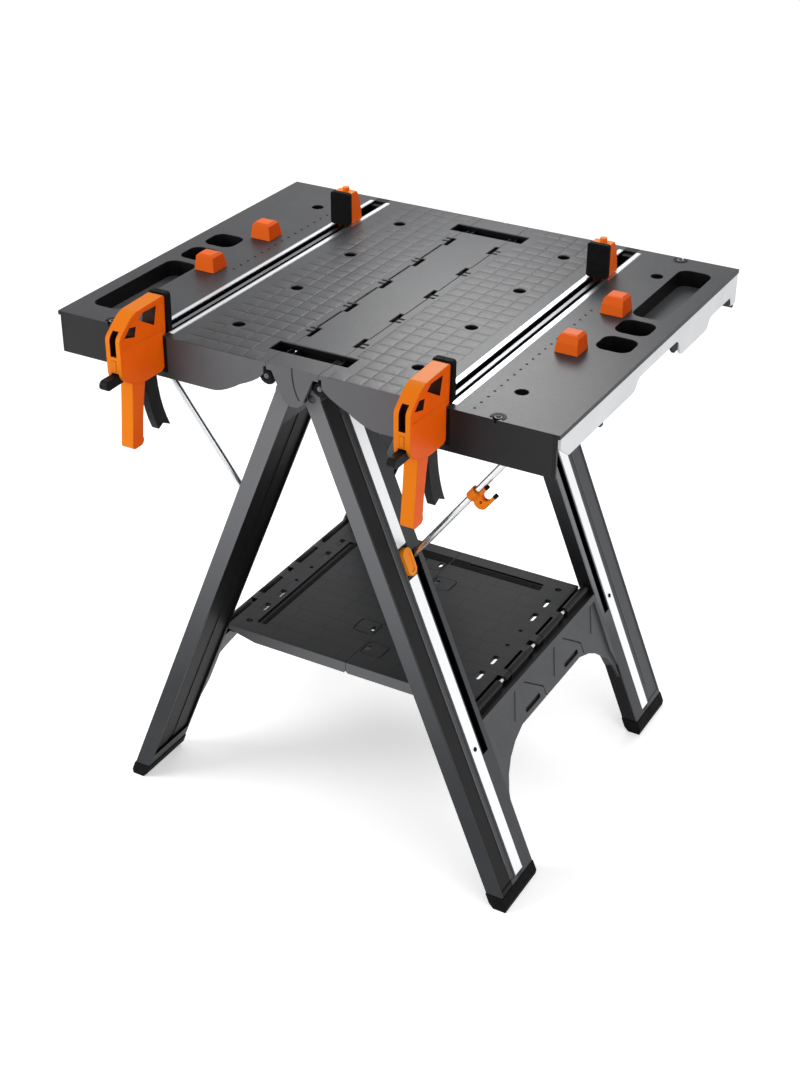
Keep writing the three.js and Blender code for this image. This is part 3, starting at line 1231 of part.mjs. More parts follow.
// Brace: one bent rod per side, turning under the panel, its two ends in the slots of the legs
function brace(side) {
  const parent = sideGroup(side);
  const [footX, footZ] = legPoint(SLOT_START + BRACE_FOOT, BRACE_FOOT_OFF);
  const dx = footX - BRACE_TOP_X;
  const dz = footZ - BRACE_TOP_Z;
  const drop = Math.hypot(dx, dz);
  const point = (end, along) => new THREE.Vector3(
    BRACE_TOP_X + (dx * along) / drop, end * BRACE_Y, BRACE_TOP_Z + (dz * along) / drop);
  let body = rodY(BRACE, BRACE_TOP_X, BRACE_TOP_Z, [-BRACE_Y, BRACE_Y]);
  for (const end of ENDS) {
    const corner = new THREE.SphereGeometry(BRACE / 2, ROUND, ROUND / 2);
    corner.translate(...point(end, 0).toArray());
    const arm = new THREE.CylinderGeometry(BRACE / 2, BRACE / 2, drop, ROUND).translate(0, -drop / 2, 0);
    arm.rotateX(Math.PI / 2).rotateY(Math.atan2(dx, dz) + Math.PI);
    arm.translate(...point(end, 0).toArray());
    body = join(body, solid(corner), solid(arm));
  }
  node(`${side}_brace`, body, STEEL, parent);
  if (side === 'right') {
    cordHook(point(-1, HOOK_ALONG), Math.atan2(-dz, -dx), parent);
  }
}

// Cord hook: an open fork beside a ring that is clipped on the brace, in the brace's own direction
function cordHook(place, angle, parent) {
  const group = new THREE.Group();
  group.position.copy(place);
  group.rotation.y = -angle;
  parent.add(group);
  const z = -HOOK_OUTER - HOOK_DROP;
  const shape = new THREE.Shape();
  shape.moveTo(HOOK_LENGTH, z + HOOK_INNER);
  shape.lineTo(HOOK_ROOT, z + HOOK_INNER);
  shape.absarc(HOOK_ROOT, z, HOOK_INNER, Math.PI / 2, Math.PI * 1.5);
  shape.lineTo(HOOK_LENGTH, z - HOOK_INNER);
  shape.lineTo(HOOK_LENGTH, z - HOOK_OUTER);
  shape.lineTo(0, z - HOOK_OUTER);
  shape.absarc(0, z, HOOK_OUTER, -Math.PI / 2, Math.PI / 2, true);
  shape.lineTo(HOOK_LENGTH, z + HOOK_OUTER);
  const ring = rodX(BRACE + 2 * HOOK_RING_WALL, 0, 0, around(0, HOOK_RING));
  const body = cut(
    join(prismY(shape, around(0, HOOK_THICK), FINE), ring),
    rodX(BRACE + 2 * FIT, 0, 0, [-HOOK_RING - HOOK_OUTER, HOOK_LENGTH + HOOK_RING]),
    rodY(HOOK_HOLE, 0, z, [-HOOK_THICK, HOOK_THICK], DOT_ROUND),
  );
  node('right_cord_hook', body, ORANGE, group);
}

centreBeam();
pins();
rails();
shelfPins();
for (const side of SIDES) {
  tablePanel(side);
  apron(side);
  clamp(side);
  crossPanel(side);
  shelfHalf(side);
  brace(side);
  for (const end of ENDS) {
    dog(side, end);
    leg(side, end);
  }
}

export default bench;
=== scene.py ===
"""Looks of the folding workbench: materials, fine detail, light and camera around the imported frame."""

import json
import math

import bmesh
import bpy
from mathutils import Matrix, Vector

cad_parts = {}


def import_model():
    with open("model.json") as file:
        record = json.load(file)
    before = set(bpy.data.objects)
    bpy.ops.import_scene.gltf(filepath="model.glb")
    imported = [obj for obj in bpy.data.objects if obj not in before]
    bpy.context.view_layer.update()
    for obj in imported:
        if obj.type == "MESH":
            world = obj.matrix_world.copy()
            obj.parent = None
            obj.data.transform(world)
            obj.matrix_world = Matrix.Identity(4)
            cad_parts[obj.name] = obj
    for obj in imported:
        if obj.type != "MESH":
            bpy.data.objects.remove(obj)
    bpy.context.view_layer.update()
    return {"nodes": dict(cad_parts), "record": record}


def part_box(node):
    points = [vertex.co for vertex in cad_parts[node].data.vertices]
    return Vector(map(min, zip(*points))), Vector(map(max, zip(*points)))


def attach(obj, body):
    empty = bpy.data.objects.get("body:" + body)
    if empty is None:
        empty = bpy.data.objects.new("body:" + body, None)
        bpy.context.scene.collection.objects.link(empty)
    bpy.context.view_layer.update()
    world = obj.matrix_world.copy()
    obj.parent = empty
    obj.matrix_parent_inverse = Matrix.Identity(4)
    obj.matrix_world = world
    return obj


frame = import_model()
NODES = frame["nodes"]
MM = 0.001

# Places taken from the frame
TOP_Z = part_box("right_panel")[1].z
HALF_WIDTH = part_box("right_panel")[1].x
FRONT_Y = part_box("centre_beam")[0].y
BACK_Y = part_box("centre_beam")[1].y
MIDDLE_Y = (FRONT_Y + BACK_Y) / 2
HALF_DEPTH = (BACK_Y - FRONT_Y) / 2
RAIL_X = (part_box("right_rail")[0].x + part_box("right_rail")[1].x) / 2
SHELF_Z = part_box("right_shelf")[1].z
SHELF_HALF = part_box("right_shelf")[1].y - MIDDLE_Y
FOOT_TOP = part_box("front_right_foot")[1].z
SIDES = {"right": 1, "left": -1}
ENDS = {"front": -1, "back": 1}

# Camera fitted to the photograph, whose frame is 800 by 1067 pixels
IMAGE = (800, 1067)
FOCAL_PIXELS = 1794.376
CENTRE_PIXEL = (406.752, 529.379)
AZIMUTH = math.radians(29.1076)
ELEVATION = math.radians(30.1042)
ROLL = math.radians(0.3525)
DISTANCE = 2.83107
TARGET_HEIGHT = 0.4065
SENSOR = 36.0

# Top surface
INCH = 25.4 * MM
HOLE_X = 144 * MM
HOLE_PITCH = 152.4 * MM
PAD_COLUMNS = (-3, -2, -1, 0, 1)
PAD_ROWS = 25
PAD_HEIGHT = 0.25 * MM
PAD_CROWN = 0.25 * MM
PAD_GAP = 0.5 * MM
PAD_SLOPE = 2.6 * MM
RULER_X = 265 * MM
RULER_START = -300 * MM
RULER_STEP = 0.75 * INCH
RULER_COUNT = 20
DOT_RADIUS = 2.0 * MM
LIFT = 0.15 * MM
SUNK = 2.5 * MM
EDGE = 3 * MM
TRAY_X = HALF_WIDTH - 78 * MM
TRAY_Y = (HALF_DEPTH - 241 * MM, HALF_DEPTH - 44 * MM)

# Leg frames: the pivot, and the plane of a leg as seen from the front
PIVOT_X = 22 * MM
PIVOT_Z = 768 * MM
FOOT_X = 331 * MM
LEG_ANGLE = math.atan2(FOOT_X - PIVOT_X, PIVOT_Z)
LEG_OUT = Vector((math.cos(LEG_ANGLE), 0, math.sin(LEG_ANGLE)))
LEG_DOWN = Vector((math.sin(LEG_ANGLE), 0, -math.cos(LEG_ANGLE)))
LEG_FACE = 12.5 * MM
LEG_WALL = 4 * MM
LEG_INNER = 203 * MM
STRIPE_INNER = 236 * MM
STRIPE_OUTER = 251 * MM
BAND_OUTER = 300.5 * MM
SLOT_INNER = 213 * MM
SLOT_OUTER = 230 * MM
CROSS_FACE = 8.5 * MM
TRIM_Y = 269 * MM
TRIM_FROM = 40 * MM
TRIM_TO = 770 * MM
BAND_FLOOR = LEG_FACE - 1.2 * MM
STRIPE_FACE = LEG_FACE + 0.3 * MM
SCREW_Y = 243.5 * MM
SCREW_ALONG = 586 * MM

# Small pieces: pin heads, apron wedges with their place and size, the plate behind a clamp, hook tips
HINGE_X = 42 * MM
HINGE_Z = TOP_Z - 21 * MM
APRON_CLIPS = ((-188 * MM, 777 * MM, 9 * MM), (66 * MM, 788 * MM, 14 * MM), (284 * MM, 778 * MM, 14 * MM))
UPRIGHT = (Vector((1, 0, 0)), Vector((0, 1, 0)), Vector((0, 0, 1)))
GRIP_X = (41.8 * MM, 66 * MM)
GRIP_Y = (243 * MM, 281 * MM)
GRIP_Z = (783.4 * MM, 806.8 * MM)
SPINE_GRIP = 32 * MM
LINER = 1.2 * MM
LEG_OUTER = 304 * MM
# Painted shade sheets in the leg channels: their offset, groove, and span along the leg.
SHEET_OFF = -9 * MM
SHEET_GROOVE = 14 * MM
SHEET_FROM = 54 * MM
SHEET_TO = 770 * MM
KNUCKLE_X = 226.4 * MM
KNUCKLE_Z = 260 * MM
BARRELS = ((55 * MM, 58 * MM), (157 * MM, 80 * MM))
SLOT_COUNT = 5
SLOT_PITCH = 100 * MM
SLOT_LENGTH = 34 * MM
SLOT_BACK_X = 57 * MM
SLOT_BACK_SHIFT = 15 * MM
SLOT_BACK_Z = TOP_Z - 16 * MM
SLOT_BACK = (26 * MM, 80 * MM, 1.6 * MM)
SEAM_FROM = 41.2 * MM
# The painted shade in the hinge joint is wider on the left top than on the right.
SEAM_SHADE_WIDTH = {"right": 1.2 * MM, "left": 3.2 * MM}
TEETH = (-12 * MM, -1 * MM)
TOOTH = 5 * MM
TOOTH_X = (41.2 * MM, 51 * MM)
NOTCH_X = HALF_WIDTH - 90.5 * MM
STUD_Y = HALF_DEPTH - 9.5 * MM
STUD_RING = (6.2 * MM, 10.8 * MM)
STUD_OPEN = math.radians(60)
STUD_STEPS = 16
# Corners of the painted shade in the gap beside each end plate
PLATE_GAP_SHADE = ((30 * MM, 803 * MM), (33 * MM, 803 * MM), (17 * MM, 768 * MM), (14 * MM, 768 * MM))
RAIL_LIP = (10.5 * MM, 20 * MM)

# Windows of a clamp: half width, then from the front edge of the top, then down from the clamp's top
CLAMP_TOP = TOP_Z + 59 * MM
CLAMP_WINDOWS = (
    (4.9 * MM, (82.8 * MM, 95.2 * MM), (20.8 * MM, 55.2 * MM)),
    (10.4 * MM, (8.5 * MM, 50.5 * MM), (8.8 * MM, 36.2 * MM)),
    (10.4 * MM, (55.5 * MM, 82.5 * MM), (19.8 * MM, 37.2 * MM)),
)
CLAMP_PLATE_SIZE = (34 * MM, 0.8 * MM, 52 * MM)
CLAMP_PLATE_Z = TOP_Z - 27 * MM
BRACE_TOP_X = HALF_WIDTH - 67.5 * MM
BRACE_TOP_Z = TOP_Z - 43 * MM
BRACE_Y = 221.5 * MM
BRACE_FOOT_ALONG = 280 * MM
BRACE_FOOT_OFF = 4 * MM
HOOK_ALONG = 162 * MM
HOOK_LENGTH = 23 * MM
HOOK_PRONGS = (6.5 * MM, 23.5 * MM)
HOOK_TIP = (4 * MM, 9 * MM, 6 * MM)

# Light
AMBIENT = 0.62
MOULD_GLOSS = 0.2
FLOOR_GLOW = 0.42


def linear(code):
    """Scene colour of an sRGB hex code."""
    values = [int(code[i:i + 2], 16) / 255 for i in (0, 2, 4)]
    return [v / 12.92 if v <= 0.04045 else ((v + 0.055) / 1.055) ** 2.4 for v in values] + [1.0]


class Look:
    """A node material with a Principled shader, whose colour, roughness and relief come from noise."""

    def __init__(self, name):
        self.material = bpy.data.materials.new(name)
        self.material.use_nodes = True
        self.tree = self.material.node_tree
        self.shader = self.tree.nodes["Principled BSDF"]
        coordinates = self.node("ShaderNodeTexCoord")
        self.place = coordinates.outputs["Object"]
        self.facing = coordinates.outputs["Normal"]

    def node(self, kind, **settings):
        made = self.tree.nodes.new(kind)
        for key, value in settings.items():
            setattr(made, key, value)
        return made

    def link(self, source, target):
        self.tree.links.new(source, target)

    def noise(self, scale, detail=3.0, stretch=(1, 1, 1)):
        mapping = self.node("ShaderNodeMapping")
        mapping.inputs["Scale"].default_value = stretch
        self.link(self.place, mapping.inputs["Vector"])
        noise = self.node("ShaderNodeTexNoise")
        noise.inputs["Scale"].default_value = scale
        noise.inputs["Detail"].default_value = detail
        self.link(mapping.outputs["Vector"], noise.inputs["Vector"])
        return noise.outputs["Fac"]

    def spread(self, factor, low, high):
        made = self.node("ShaderNodeMapRange")
        made.inputs["From Min"].default_value = 0.3
        made.inputs["From Max"].default_value = 0.7
        made.inputs["To Min"].default_value = low
        made.inputs["To Max"].default_value = high
        self.link(factor, made.inputs["Value"])
        return made.outputs["Result"]

    def tone(self, factor, dark, bright):
        """Colour that drifts between two codes with the noise."""
        ramp = self.node("ShaderNodeValToRGB")
        ramp.color_ramp.elements[0].position = 0.3
        ramp.color_ramp.elements[1].position = 0.7
        ramp.color_ramp.elements[0].color = linear(dark)
        ramp.color_ramp.elements[1].color = linear(bright)
        self.link(factor, ramp.inputs["Fac"])
        return ramp.outputs["Color"]

    def math(self, operation, *values):
        made = self.node("ShaderNodeMath", operation=operation)
        for socket, value in zip(made.inputs, values):
            if isinstance(value, (int, float)):
                socket.default_value = value
            else:
                self.link(value, socket)
        return made.outputs["Value"]

    def axis(self, name, vector=None):
        made = self.node("ShaderNodeSeparateXYZ")
        self.link(vector or self.place, made.inputs["Vector"])
        return made.outputs[name]

    def rising(self, value, low, high):
        """0 below low, 1 above high, smooth between; low above high turns it round."""
        made = self.node("ShaderNodeMapRange", interpolation_type="SMOOTHSTEP")
        turned_round = low > high
        made.inputs["From Min"].default_value = min(low, high)
        made.inputs["From Max"].default_value = max(low, high)
        made.inputs["To Min"].default_value = 1.0 if turned_round else 0.0
        made.inputs["To Max"].default_value = 0.0 if turned_round else 1.0
        self.link(value, made.inputs["Value"])
        return made.outputs["Result"]

    def between(self, value, low, high, soft):
        above = self.rising(value, low - soft, low)
        below = self.rising(value, high + soft, high)
        return self.math("MULTIPLY", above, below)

    def both(self, *masks):
        product = masks[0]
        for mask in masks[1:]:
            product = self.math("MULTIPLY", product, mask)
        return product

    def over(self, colour, mask, code):
        """A second colour laid over the first where the mask is 1."""
        made = self.node("ShaderNodeMix", data_type="RGBA")
        self.link(mask, made.inputs[0])
        self.link(colour, made.inputs[6])
        made.inputs[7].default_value = linear(code)
        return made.outputs[2]

    def paint(self, colour):
        self.link(colour, self.shader.inputs["Base Color"])

    def rough(self, factor, low, high):
        self.link(self.spread(factor, low, high), self.shader.inputs["Roughness"])

    def relief(self, factor, strength, depth, edge):
        """Fine relief on top of softly rounded edges."""
        bevel = self.node("ShaderNodeBevel", samples=4)
        bevel.inputs["Radius"].default_value = edge
        bump = self.node("ShaderNodeBump")
        bump.inputs["Strength"].default_value = strength
        bump.inputs["Distance"].default_value = depth
        self.link(factor, bump.inputs["Height"])
        self.link(bevel.outputs["Normal"], bump.inputs["Normal"])
        self.link(bump.outputs["Normal"], self.shader.inputs["Normal"])

    def inside(self, *ranges):
        """1 where each value lies within its range."""
        return self.both(*[self.between(value, low, high, 0.1 * MM) for value, low, high in ranges])

    def metal_finish(self, lines, roughness):
        """Metal with its relief and gloss drawn out along fine lines."""
        self.shader.inputs["Metallic"].default_value = 1.0
        self.rough(lines, roughness - 0.05, roughness + 0.06)
        self.relief(lines, 0.06, 0.05 * MM, 0.4 * MM)

    def mould_finish(self, roughness, edge=0.8 * MM, gloss=MOULD_GLOSS, grain=900):
        """Spark-eroded grain, slightly uneven low gloss and soft edges of a moulding."""
        self.shader.inputs["Specular IOR Level"].default_value = gloss
        self.rough(self.noise(220), roughness - 0.03, roughness + 0.03)
        self.relief(self.noise(grain, 2), 0.25, 0.15 * MM, edge)


def moulded(name, dark, bright, roughness, edge=0.8 * MM, gloss=MOULD_GLOSS):
    """Plain moulded plastic with faint clouding in its colour."""
    look = Look(name)
    look.paint(look.tone(look.noise(14, 4), dark, bright))
    look.mould_finish(roughness, edge, gloss)
    return look.material


def top_plastic(name, edge=0.8 * MM):
    """The tops: grained upper face, skirts with painted shade that falls off to the corners, painted shade in the black
    hollows, and a tray floor painted lighter to make up for the shade in the tray.
    """
    look = Look(name)
    colour = look.tone(look.noise(14, 4), "2b2c2f", "323336")
    away = look.math("ABSOLUTE", look.axis("X"))
    depth = look.math("ABSOLUTE", look.math("SUBTRACT", look.axis("Y"), MIDDLE_Y))
    flank = look.rising(look.axis("Z", look.facing), 0.8, 0.5)
    # Painted shade: the skirts turn darker toward their outer ends.
    outward = look.rising(away, RAIL_X - 70 * MM, RAIL_X + 30 * MM)
    # Painted shade: black in the hollows below the top.
    sunk = look.both(look.rising(look.axis("Z"), TOP_Z - SUNK / 3, TOP_Z - SUNK),
                     look.rising(away, HALF_WIDTH - EDGE, HALF_WIDTH - 2 * EDGE),
                     look.rising(depth, HALF_DEPTH - EDGE, HALF_DEPTH - 2 * EDGE))
    corner = look.both(flank, look.between(away, HALF_WIDTH - 9 * MM, HALF_WIDTH - 4 * MM, EDGE / 3))
    colour = look.over(colour, flank, "5a5b5e")
    colour = look.over(colour, look.both(flank, outward), "1a1a1c")
    colour = look.over(colour, corner, "0f0f11")
    colour = look.over(colour, sunk, "0c0c0d")
    turned_y = look.math("MULTIPLY", look.math("SIGN", look.axis("X")),
                         look.math("SUBTRACT", look.axis("Y"), MIDDLE_Y))
    # The tray's floor keeps the grey of the top, lighter by painted light that makes up for the shade in the tray.
    floor_of_tray = look.both(look.rising(look.axis("Z", look.facing), 0.6, 0.9),
                              look.rising(look.axis("Z"), TOP_Z - SUNK, TOP_Z - 2 * SUNK),
                              look.between(turned_y, *TRAY_Y, EDGE), look.rising(away, TRAY_X, TRAY_X + EDGE))
    colour = look.over(colour, floor_of_tray, "4c4d50")
    look.paint(colour)
    look.mould_finish(0.4, edge)
    return look.material


def leg_place(look):
    """How far a point is off the leg's middle plane, and how far from the bench's middle."""
    absolute = look.math("ABSOLUTE", look.axis("X"))
    along_x = look.math("MULTIPLY", absolute, LEG_OUT.x)
    along_z = look.math("MULTIPLY", look.axis("Z"), LEG_OUT.z)
    pivot = PIVOT_X * LEG_OUT.x + PIVOT_Z * LEG_OUT.z
    off = look.math("SUBTRACT", look.math("ADD", along_x, along_z), pivot)
    depth = look.math("ABSOLUTE", look.math("SUBTRACT", look.axis("Y"), MIDDLE_Y))
    return off, depth


def leg_plastic(name):
    """Legs: grey walls with painted light toward the top, painted light and shade on the forward walls of the back
    legs, a black band beside the stripe, and painted shade, black, in the slot, the channel and on the inner faces.
    """
    look = Look(name)
    colour = look.tone(look.noise(14, 4), "2e2f32", "353639")
    off, depth = leg_place(look)
    edge = 0.4 * MM
    across = look.math("ABSOLUTE", look.axis("Y", look.facing))
    front = look.rising(look.axis("Y"), MIDDLE_Y + edge, MIDDLE_Y)
    back = look.math("SUBTRACT", 1.0, front)
    wall = look.rising(across, 0.5, 0.8)
    # Painted light: the walls that face front and back turn lighter toward the top.
    front_wall = look.both(wall, front, look.rising(look.axis("Z"), 0.15, 0.74))
    behind = look.both(look.rising(look.axis("Y", look.facing), 0.5, 0.8), back)
    back_wall = look.both(behind, look.rising(look.axis("Z"), 0.15, 0.74))
    # Painted light and shade on the forward walls of the back legs: lighter above, darker low down.
    ahead = look.both(look.rising(look.axis("Y", look.facing), -0.5, -0.8), back)
    shaded = look.both(ahead, look.rising(look.axis("Z"), 0.6, 0.25))
    outside = look.rising(off, LEG_FACE - 2.2 * MM, LEG_FACE - 1.8 * MM)
    # Painted shade: the inner faces of the legs are black.
    inside = look.both(look.rising(across, 0.8, 0.5), look.rising(off, 2 * edge - LEG_FACE, edge - LEG_FACE))
    rim = look.both(outside, look.rising(depth, STRIPE_INNER + edge, STRIPE_INNER))
    back_rim = look.both(rim, back, look.rising(look.axis("Z"), 0.16, 0.3))
    beside = look.both(outside, look.between(depth, STRIPE_OUTER, TRIM_Y, edge))
    band = look.both(outside, front, look.between(depth, TRIM_Y, BAND_OUTER, edge))
    back_band = look.both(outside, back, look.between(depth, TRIM_Y, BAND_OUTER, edge))
    # Painted shade: black in the slot and in the channel.
    slot = look.both(look.rising(off, LEG_FACE - edge, LEG_FACE - 2 * edge),
                     look.between(depth, SLOT_INNER, SLOT_OUTER, edge))
    channel = look.both(look.rising(off, LEG_FACE - LEG_WALL + edge, LEG_FACE - LEG_WALL),
                        look.between(depth, LEG_INNER + LEG_WALL - edge, LEG_OUTER - LEG_WALL + edge, edge))
    # Painted light: front_wall, back_wall and ahead; painted shade: shaded, slot, channel and inside.
    for mask, code in ((front_wall, "6e6f72"), (back_wall, "6e6f72"), (ahead, "48494c"), (shaded, "141415"),
                       (rim, "46474a"), (back_rim, "808184"), (beside, "4a4b4e"),
                       (band, "0c0c0d"), (back_band, "505154"), (slot, "0a0a0b"), (channel, "0a0a0b"),
                       (inside, "0a0a0b")):
        colour = look.over(colour, mask, code)
    look.paint(colour)
    look.mould_finish(0.4, gloss=0.12)
    return look.material


# Joint lines of the shelf's top
SHELF_LINES = {"Scale": 1.0, "Mortar Size": 0.9 * MM, "Brick Width": 74 * MM, "Row Height": 31 * MM}


def shelf_plastic(name):
    """Shelf halves: fine joint lines on top, painted shade, black, inside every hole and trough, and a painted
    highlight on the lighter front and back rims.
    """
    look = Look(name)
    colour = look.tone(look.noise(14, 4), "1c1d1f", "222326")
    upward = look.rising(look.axis("Z", look.facing), 0.6, 0.9)
    depth = look.math("ABSOLUTE", look.math("SUBTRACT", look.axis("Y"), MIDDLE_Y))
    bricks = look.node("ShaderNodeTexBrick", offset=0.37, squash=0.8)
    for socket, value in SHELF_LINES.items():
        bricks.inputs[socket].default_value = value
    look.link(look.place, bricks.inputs["Vector"])
    colour = look.over(colour, look.both(upward, bricks.outputs["Fac"]), "0e0e0f")
    # Painted shade: black inside every hole and trough.
    sunk = look.both(look.rising(look.axis("Z"), SHELF_Z - 0.6 * MM, SHELF_Z - 1 * MM),
                     look.rising(depth, SHELF_HALF - EDGE / 3, SHELF_HALF - EDGE))
    # Painted highlight: the front and back rims are lighter.
    rims = look.rising(look.math("ABSOLUTE", look.axis("Y", look.facing)), 0.6, 0.9)
    colour = look.over(colour, rims, "626366")
    colour = look.over(colour, sunk, "0a0a0b")
    look.paint(colour)
    look.mould_finish(0.4)
    return look.material


def cross_plastic(name):
    """Cross panels, with painted shade, black, at the bottom of their pockets, and black at their seams."""
    look = Look(name)
    colour = look.tone(look.noise(14, 4), "48494c", "505154")
    off, _ = leg_place(look)
    # Painted shade: black at the bottom of the pockets.
    pocket = look.both(look.between(off, CROSS_FACE - 4.4 * MM, CROSS_FACE - 1.6 * MM, 0.1 * MM),
                       look.rising(look.axis("Z"), SHELF_Z - 30 * MM, SHELF_Z - 32 * MM))
    ledge = look.both(look.rising(look.axis("Z"), SHELF_Z - 22 * MM, SHELF_Z - 20 * MM),
                      look.rising(look.axis("Z", look.facing), 0.6, 0.9))
    barrel = look.rising(look.axis("Z"), SHELF_Z - 14 * MM, SHELF_Z - 13 * MM)
    colour = look.over(colour, pocket, "0c0c0d")
    colour = look.over(colour, ledge, "0e0e0f")
    colour = look.over(colour, barrel, "0c0c0d")
    look.paint(colour)
    look.mould_finish(0.4)
    return look.material


def orange_plastic(name, dark, bright, lit):
    """Orange moulding, with painted light that makes it yellower where it faces up or forward, dark inside the windows
    of the clamps.
    """
    look = Look(name)
    colour = look.tone(look.noise(14, 4), dark, bright)
    # Painted light: faces turned up or forward take the yellower lit colour.
    forward = look.rising(look.axis("Y", look.facing), -0.5, -0.9)
    upward = look.rising(look.axis("Z", look.facing), 0.5, 0.9)
    colour = look.over(colour, look.math("MAXIMUM", forward, upward), lit)
    beside = look.math("ABSOLUTE", look.math("SUBTRACT", look.math("ABSOLUTE", look.axis("X")), RAIL_X))
    ahead = look.math("SUBTRACT", FRONT_Y, look.axis("Y"))
    down = look.math("SUBTRACT", CLAMP_TOP, look.axis("Z"))
    for width, span, drop in CLAMP_WINDOWS:
        window = look.inside((beside, -width, width), (ahead, *span), (down, *drop))
        colour = look.over(colour, window, "2a1005")
    look.paint(colour)
    look.mould_finish(0.42, 1.6 * MM, 0.09)
    return look.material


def brushed(name, dark, bright, roughness, direction):
    """Drawn metal, with fine lines along one direction."""
    look = Look(name)
    lines = look.noise(1.0, 4, [6 if axis == direction else 900 for axis in range(3)])
    look.paint(look.tone(lines, dark, bright))
    look.metal_finish(lines, roughness)
    return look.material


def rail_metal(name):
    """Extruded rails: two bright lips with painted shade on their edges, and painted shade, dark, inside the groove."""
    look = Look(name)
    lines = look.noise(1.0, 4, (900, 6, 900))
    colour = look.tone(lines, "ced0d3", "dcdee0")
    beside = look.math("ABSOLUTE", look.math("SUBTRACT", look.math("ABSOLUTE", look.axis("X")), RAIL_X))
    # Painted shade: the lips turn grey toward their rounded edges.
    colour = look.over(colour, look.rising(beside, RAIL_LIP[1] - 3.2 * MM, RAIL_LIP[1] - 1 * MM), "707174")
    colour = look.over(colour, look.rising(beside, RAIL_LIP[0] + 2.4 * MM, RAIL_LIP[0] + 0.6 * MM), "7c7d80")
    # Painted shade: dark inside the groove.
    colour = look.over(colour, look.rising(look.axis("Z"), TOP_Z - 1 * MM, TOP_Z - 4 * MM), "1c1d1f")
    look.paint(colour)
    look.metal_finish(lines, 0.32)
    return look.material


def rubber(name, dark, bright):
    """Matt rubber with a coarse pebble."""
    look = Look(name)
    look.paint(look.tone(look.noise(40, 4), dark, bright))
    look.shader.inputs["Specular IOR Level"].default_value = 0.1
    look.rough(look.noise(120), 0.68, 0.85)
    look.relief(look.noise(500, 2), 0.4, 0.3 * MM, 0.8 * MM)
    return look.material


LOOKS = {
    "top_plastic": top_plastic("top_plastic"),
    "dark_plastic": shelf_plastic("shelf_plastic"),
    "leg_plastic": leg_plastic("leg_plastic"),
    "pale_plastic": moulded("pale_plastic", "dadbdd", "e4e5e7", 0.45),
    # The last orange colour is painted light, for faces turned up or forward.
    "orange_plastic": orange_plastic("orange_plastic", "e65806", "ee6208", "da740c"),
    "black_plastic": moulded("black_plastic", "0b0b0c", "111112", 0.5, gloss=0.1),
    "rubber": rubber("rubber", "070708", "0d0d0e"),
    "bright_aluminium": rail_metal("rail_aluminium"),
    "steel": brushed("steel", "c8cacd", "dcdee0", 0.2, 2),
}
TRIM = moulded("trim_plastic", "58595c", "626366", 0.4, 0.3 * MM)

PADS = top_plastic("pad_plastic", LIFT / 10)
PALE_TRIM = moulded("pale_trim", "6c6d70", "76777a", 0.4, 0.3 * MM)

# Nodes that look different from the rest of their slot, by the end of their name
SPECIAL = {
    "stripe": brushed("stripe_aluminium", "eceef0", "f4f5f6", 0.34, 2),
    "cross_panel": cross_plastic("cross_plastic"),
    # The dog's last colour is painted light, for faces turned up or forward.
    "dog": orange_plastic("dog_plastic", "ca4408", "d24e0a", "d85c14"),
    "clamp_bar": brushed("bar_steel", "5c5d60", "68696c", 0.35, 1),
    "lock_button": moulded("button_plastic", "f28a16", "f89420", 0.4, 1.2 * MM),
    "leg_pin": brushed("dark_steel", "3a3b3d", "454649", 0.35, 1),
}


def dress_nodes():
    """Each CAD node gets the material of its slot in the record, or its own one."""
    for part in frame["record"]["subparts"]:
        mesh = NODES[part["node"]].data
        own = [look for ending, look in SPECIAL.items() if part["node"].endswith(ending)]
        mesh.materials.clear()
        mesh.materials.append(own[0] if own else LOOKS[part["material_slot"]])


def piece(name, mesh, body, slot, material=None):
    """An object of that mesh which rides on a body and takes its finish from a slot."""
    data = bpy.data.meshes.new(name)
    mesh.normal_update()
    mesh.to_mesh(data)
    mesh.free()
    made = bpy.data.objects.new(name, data)
    bpy.context.scene.collection.objects.link(made)
    data.materials.append(material or LOOKS[slot])
    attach(made, body)
    return made


def turned(side, x, y):
    """A place on the right top, or the same place on the left one, which is turned half a turn."""
    return SIDES[side] * x, MIDDLE_Y + SIDES[side] * y


def pad_is_clear(x, y):
    """Pads keep off the dog holes and the hand grips."""
    hole_rows = [HOLE_PITCH * step for step in (-1.5, -0.5, 0.5, 1.5)]
    on_hole = abs(x - HOLE_X) < INCH / 2 and min(abs(y - row) for row in hole_rows) < INCH / 2
    on_grip = x - INCH / 2 < 64 * MM and 246 * MM - INCH / 2 < abs(y) < 278 * MM + INCH / 2
    return not on_hole and not on_grip


def add_pad(mesh, x, y, z):
    """One low pillow of the grid: a sloped rim and a slightly crowned top."""
    corners = ((-1, -1), (1, -1), (1, 1), (-1, 1))
    base = (INCH - PAD_GAP) / 2
    rim = base - PAD_SLOPE
    low = [mesh.verts.new((x + a * base, y + b * base, z)) for a, b in corners]
    high = [mesh.verts.new((x + a * rim, y + b * rim, z + PAD_HEIGHT)) for a, b in corners]
    crown = mesh.verts.new((x, y, z + PAD_HEIGHT + PAD_CROWN))
    for i in range(4):
        j = (i + 1) % 4
        mesh.faces.new((low[i], low[j], high[j], high[i]))
        mesh.faces.new((high[i], high[j], crown)).smooth = True
    mesh.faces.new(low[::-1])


def grid_pads(side):
    mesh = bmesh.new()
    for column in PAD_COLUMNS:
        for row in range(PAD_ROWS):
            x = HOLE_X + column * INCH
            y = (row - (PAD_ROWS - 1) / 2) * INCH
            if pad_is_clear(x, y):
                place_x, place_y = turned(side, x, y)
                add_pad(mesh, place_x, place_y, TOP_Z + LIFT)
    return piece(side + "_grid_pads", mesh, side + "_top", "top_plastic", PADS)


